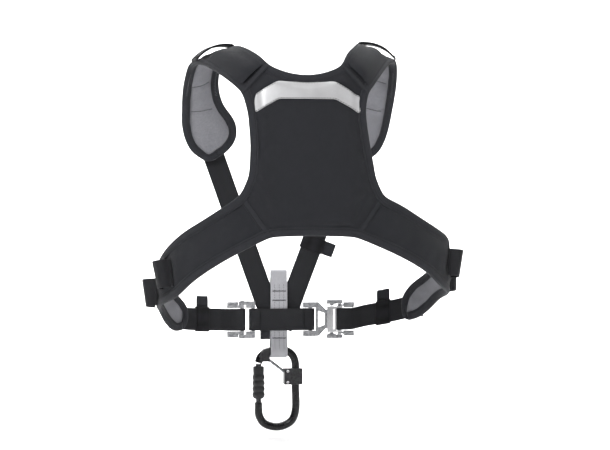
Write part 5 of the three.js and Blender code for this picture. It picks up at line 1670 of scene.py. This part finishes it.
def turned(name, centre, axis, profile, material, sides=32, closed=False):
    """A turned part: a radius at each distance along its axis."""
    axis = unit(axis)
    side = unit(np.cross(axis, (0.31, 0.77, 0.55)))
    up = np.cross(axis, side)
    rows = []
    for along, radius in profile:
        for k in range(sides):
            a = 2 * math.pi * k / sides
            r = radius(a) if callable(radius) else radius
            ray = side * math.cos(a) + up * math.sin(a)
            rows.append(np.array(centre) + axis * along + ray * r)
    faces = []
    count = len(profile)
    for i in range(count if closed else count - 1):
        m = (i + 1) % count
        for k in range(sides):
            n = (k + 1) % sides
            faces.append((i * sides + k, i * sides + n, m * sides + n, m * sides + k))
    if not closed:
        faces.append(tuple(range(sides))[::-1])
        faces.append(tuple((count - 1) * sides + k for k in range(sides)))
    return face_outwards(mesh_object(name, rows, faces, None, [material]))


def add_bar_ends():
    """Polished riveted ends of the bars, showing past the buckle cheeks."""
    profile = [(-0.0012, 0.0021), (0.0, 0.0024), (0.0006, 0.0024), (0.0011, 0.0019),
               (0.0013, 0.0009)]
    for name, node, x, half in BAR_ENDS:
        ends = [turned("bar_end", (x, BELT_Y, BELT_Z + side * half), (0, 0, side), profile,
                       BRIGHT_METAL, 20) for side in (-1, 1)]
        put(joined(ends, f"{name}_bar_ends"), "bright_metal", body=BODY_OF[node])


def make_carabiner():
    path = smooth_rail([(x, BIGHT_Y, z) for x, z in BOW_PATH], 7)
    path = even_rail(path, 0.0018)
    way = unit(np.gradient(path, axis=0))
    side = np.tile((0.0, 1.0, 0.0), (len(path), 1))
    up = np.cross(way, side)
    ring = np.array([(math.cos(a), math.sin(a)) for a in np.linspace(0, 2 * math.pi, 28,
                                                                     endpoint=False)])
    bow = swept("carabiner_bow", path, side, up, ring * CARABINER_BAR, [BLACK_METAL])
    ears = turned("ears", (GATE_X, BIGHT_Y, 0), UP, [(EAR_FOOT_Z, CARABINER_BAR * 0.97),
                                                     (EAR_TOP_Z - 0.0006, CARABINER_BAR),
                                                     (EAR_TOP_Z, CARABINER_BAR - 0.0006)],
                  BLACK_METAL, 28)
    slot = block("slot", (GATE_X - 0.007, BIGHT_Y - EAR_SLOT_HALF, EAR_SLOT_FLOOR_Z),
                 (GATE_X + 0.007, BIGHT_Y + EAR_SLOT_HALF, EAR_TOP_Z + 0.001))
    combine(bow, ears, "UNION")
    combine(bow, slot, "DIFFERENCE")
    mark_by_angle(bow)
    put(bow, "black_metal", "carabiner_frame")
    low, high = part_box("gate_pin")
    pin = turned("gate_rivet", (GATE_X, low.y, (low.z + high.z) / 2), (0, 1, 0),
                 [(0, 0.0008), (0.0003, 0.0014), (high.y - low.y - 0.0003, 0.0014),
                  (high.y - low.y, 0.0008)], GREY_ROD, 20)
    put(pin, "buckle_metal", "gate_pin")
    machined("gate_body", "gate", 0.0005, BLACK_METAL, "black_metal")
    machined("sleeve_slider", "sleeve_guide", 0.0002, BLACK_METAL, "black_metal")
    make_sleeve_ring()


def block(name, low, high):
    x, y, z = zip(low, high)
    corners = [(x[i], y[j], z[k]) for i in (0, 1) for j in (0, 1) for k in (0, 1)]
    faces = [(0, 1, 3, 2), (4, 6, 7, 5), (0, 4, 5, 1), (2, 3, 7, 6), (0, 2, 6, 4), (1, 5, 7, 3)]
    return face_outwards(mesh_object(name, corners, faces))


def combine(obj, tool, operation):
    modifier = obj.modifiers.new("Cut", "BOOLEAN")
    modifier.operation = operation
    modifier.solver = "EXACT"
    modifier.object = tool
    plain_mesh(obj)
    bpy.data.objects.remove(tool)


def mark_by_angle(obj):
    """Marks edges where the surface turns sharply as sharp, and marks no face for the worn finish."""
    bm = bmesh.new()
    bm.from_mesh(obj.data)
    bmesh.ops.remove_doubles(bm, verts=bm.verts, dist=1e-6)
    for edge in bm.edges:
        if edge.is_manifold and edge.calc_face_angle() > math.radians(35):
            edge.smooth = False
    for face in bm.faces:
        face.smooth = True
    bm.to_mesh(obj.data)
    bm.free()
    rim_marked(obj, [False] * len(obj.data.polygons))


def make_sleeve_ring():
    """Locking sleeve: a plain collar above four rounded grips."""
    length = SLEEVE_TOP_Z - SLEEVE_FOOT_Z
    collar = length - SLEEVE_COLLAR
    pitch = (collar - 0.002) / SLEEVE_GRIPS
    rows = []
    for s in np.linspace(0, length, 85):
        if min(s, length - s) < 0.0006:
            swell = -0.2
        elif s < 0.001 or s > collar:
            swell = 0.35 if s > collar + 0.001 else 0.0
        else:
            swell = abs(math.sin(math.pi * (s - 0.001) / pitch)) ** 0.7
        rows.append((s, swell))

    def radius_at(swell):
        def radius(a):
            lobes = 0.55 + 0.45 * math.cos(2 * a) ** 2
            return SLEEVE_RADIUS - 0.0016 + 0.0015 * swell * lobes
        return radius

    profile = [(s, radius_at(swell)) for s, swell in rows]
    profile += [(length, SLEEVE_BORE), (0, SLEEVE_BORE)]
    sleeve = turned("lock_sleeve_grip", (GATE_X, BIGHT_Y, SLEEVE_FOOT_Z), UP, profile,
                    BLACK_PLASTIC, 48, closed=True)
    rim_marked(sleeve, [False] * len(sleeve.data.polygons))
    put(sleeve, "black_metal", "lock_sleeve")


def make_positioner():
    machined("clamp_half_back", "clamp_back", 0.0011, BLACK_PLASTIC, "black_plastic")
    machined("clamp_half_front", "clamp_front", 0.0011, BLACK_PLASTIC, "black_plastic")
    machined("nose_clip_body", "nose_clip", 0.0009, BLACK_PLASTIC, "black_plastic")
    machined("positioning_bar", "positioning_rod", 0.0003, GREY_ROD, "grey_rod")
    for node in ("clamp_screw_upper", "clamp_screw_lower"):
        low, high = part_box(node)
        centre = ((low.x + high.x) / 2, low.y, (low.z + high.z) / 2)
        depth = high.y - low.y
        profile = [(0.0006, 0.0001), (0.0006, 0.0010), (0.0, 0.00115), (0.0, 0.0017),
                   (0.0003, 0.0020), (0.0011, 0.0020), (0.0011, 0.0011), (depth - 0.0004, 0.0011),
                   (depth, 0.0007)]
        screw = turned(node.replace("clamp_screw", "cap_screw"), centre, (0, 1, 0), profile,
                       BRIGHT_METAL, 24)
        put(screw, "bright_metal", node)


make_buckles()
make_carabiner()
make_positioner()

# ------------------------------------------------------ floor, light, camera


def make_stage():
    """A pale floor that curves up into a backdrop."""
    start, bend = FLOOR_BACK_Y, BACKDROP_BEND
    profile = [(-4.0, 0), (start, 0)]
    profile += [(start + bend * math.sin(a), bend * (1 - math.cos(a)))
                for a in np.linspace(0.15, math.pi / 2, 12)]
    profile += [(start + bend, 4.5)]
    vertices = [(x, y, FLOOR_Z + z) for y, z in profile for x in (-5, 5)]
    faces = [(2 * k, 2 * k + 1, 2 * k + 3, 2 * k + 2) for k in range(len(profile) - 1)]
    material, tree, bsdf = new_material("pale_floor", 0.9)
    solid = add(tree, "ShaderNodeTexCoord").outputs["Object"]
    blotch = use_group(tree, BLOTCHES, {"Place": solid, "Size": 0.6})["Amount"]
    tree.links.new(tinted(tree, blotch, (0.86, 0.86, 0.86), (0.9, 0.9, 0.9)),
                   bsdf.inputs["Base Color"])
    mesh_object("floor", vertices, faces, None, [material])


def soft_light(name, place, aim, size, power):
    light = bpy.data.lights.new(name, "AREA")
    light.shape = "RECTANGLE"
    light.size, light.size_y = size
    light.energy = power
    obj = bpy.data.objects.new(name, light)
    obj.location = place
    obj.rotation_euler = (Vector(aim) - Vector(place)).to_track_quat("-Z", "Y").to_euler()
    bpy.context.scene.collection.objects.link(obj)


def make_lights():
    world = bpy.data.worlds.new("studio")
    bpy.context.scene.world = world
    world.use_nodes = True
    background = world.node_tree.nodes["Background"]
    background.inputs["Color"].default_value = (1, 1, 1, 1)
    background.inputs["Strength"].default_value = WORLD_STRENGTH
    for light in LIGHTS:
        soft_light(*light)


def make_camera():
    a = math.radians(CAMERA_AZIMUTH)
    back = Vector((math.sin(a), -math.cos(a), 0))
    camera = bpy.data.cameras.new("camera")
    camera.lens = CAMERA_LENS
    camera.sensor_width = 36
    obj = bpy.data.objects.new("camera", camera)
    obj.location = Vector(CAMERA_TARGET) + back * CAMERA_DISTANCE
    obj.rotation_euler = (-back).to_track_quat("-Z", "Y").to_euler()
    bpy.context.scene.collection.objects.link(obj)
    bpy.context.scene.camera = obj


make_stage()
make_lights()
make_camera()
bpy.context.scene.view_settings.view_transform = "Standard"
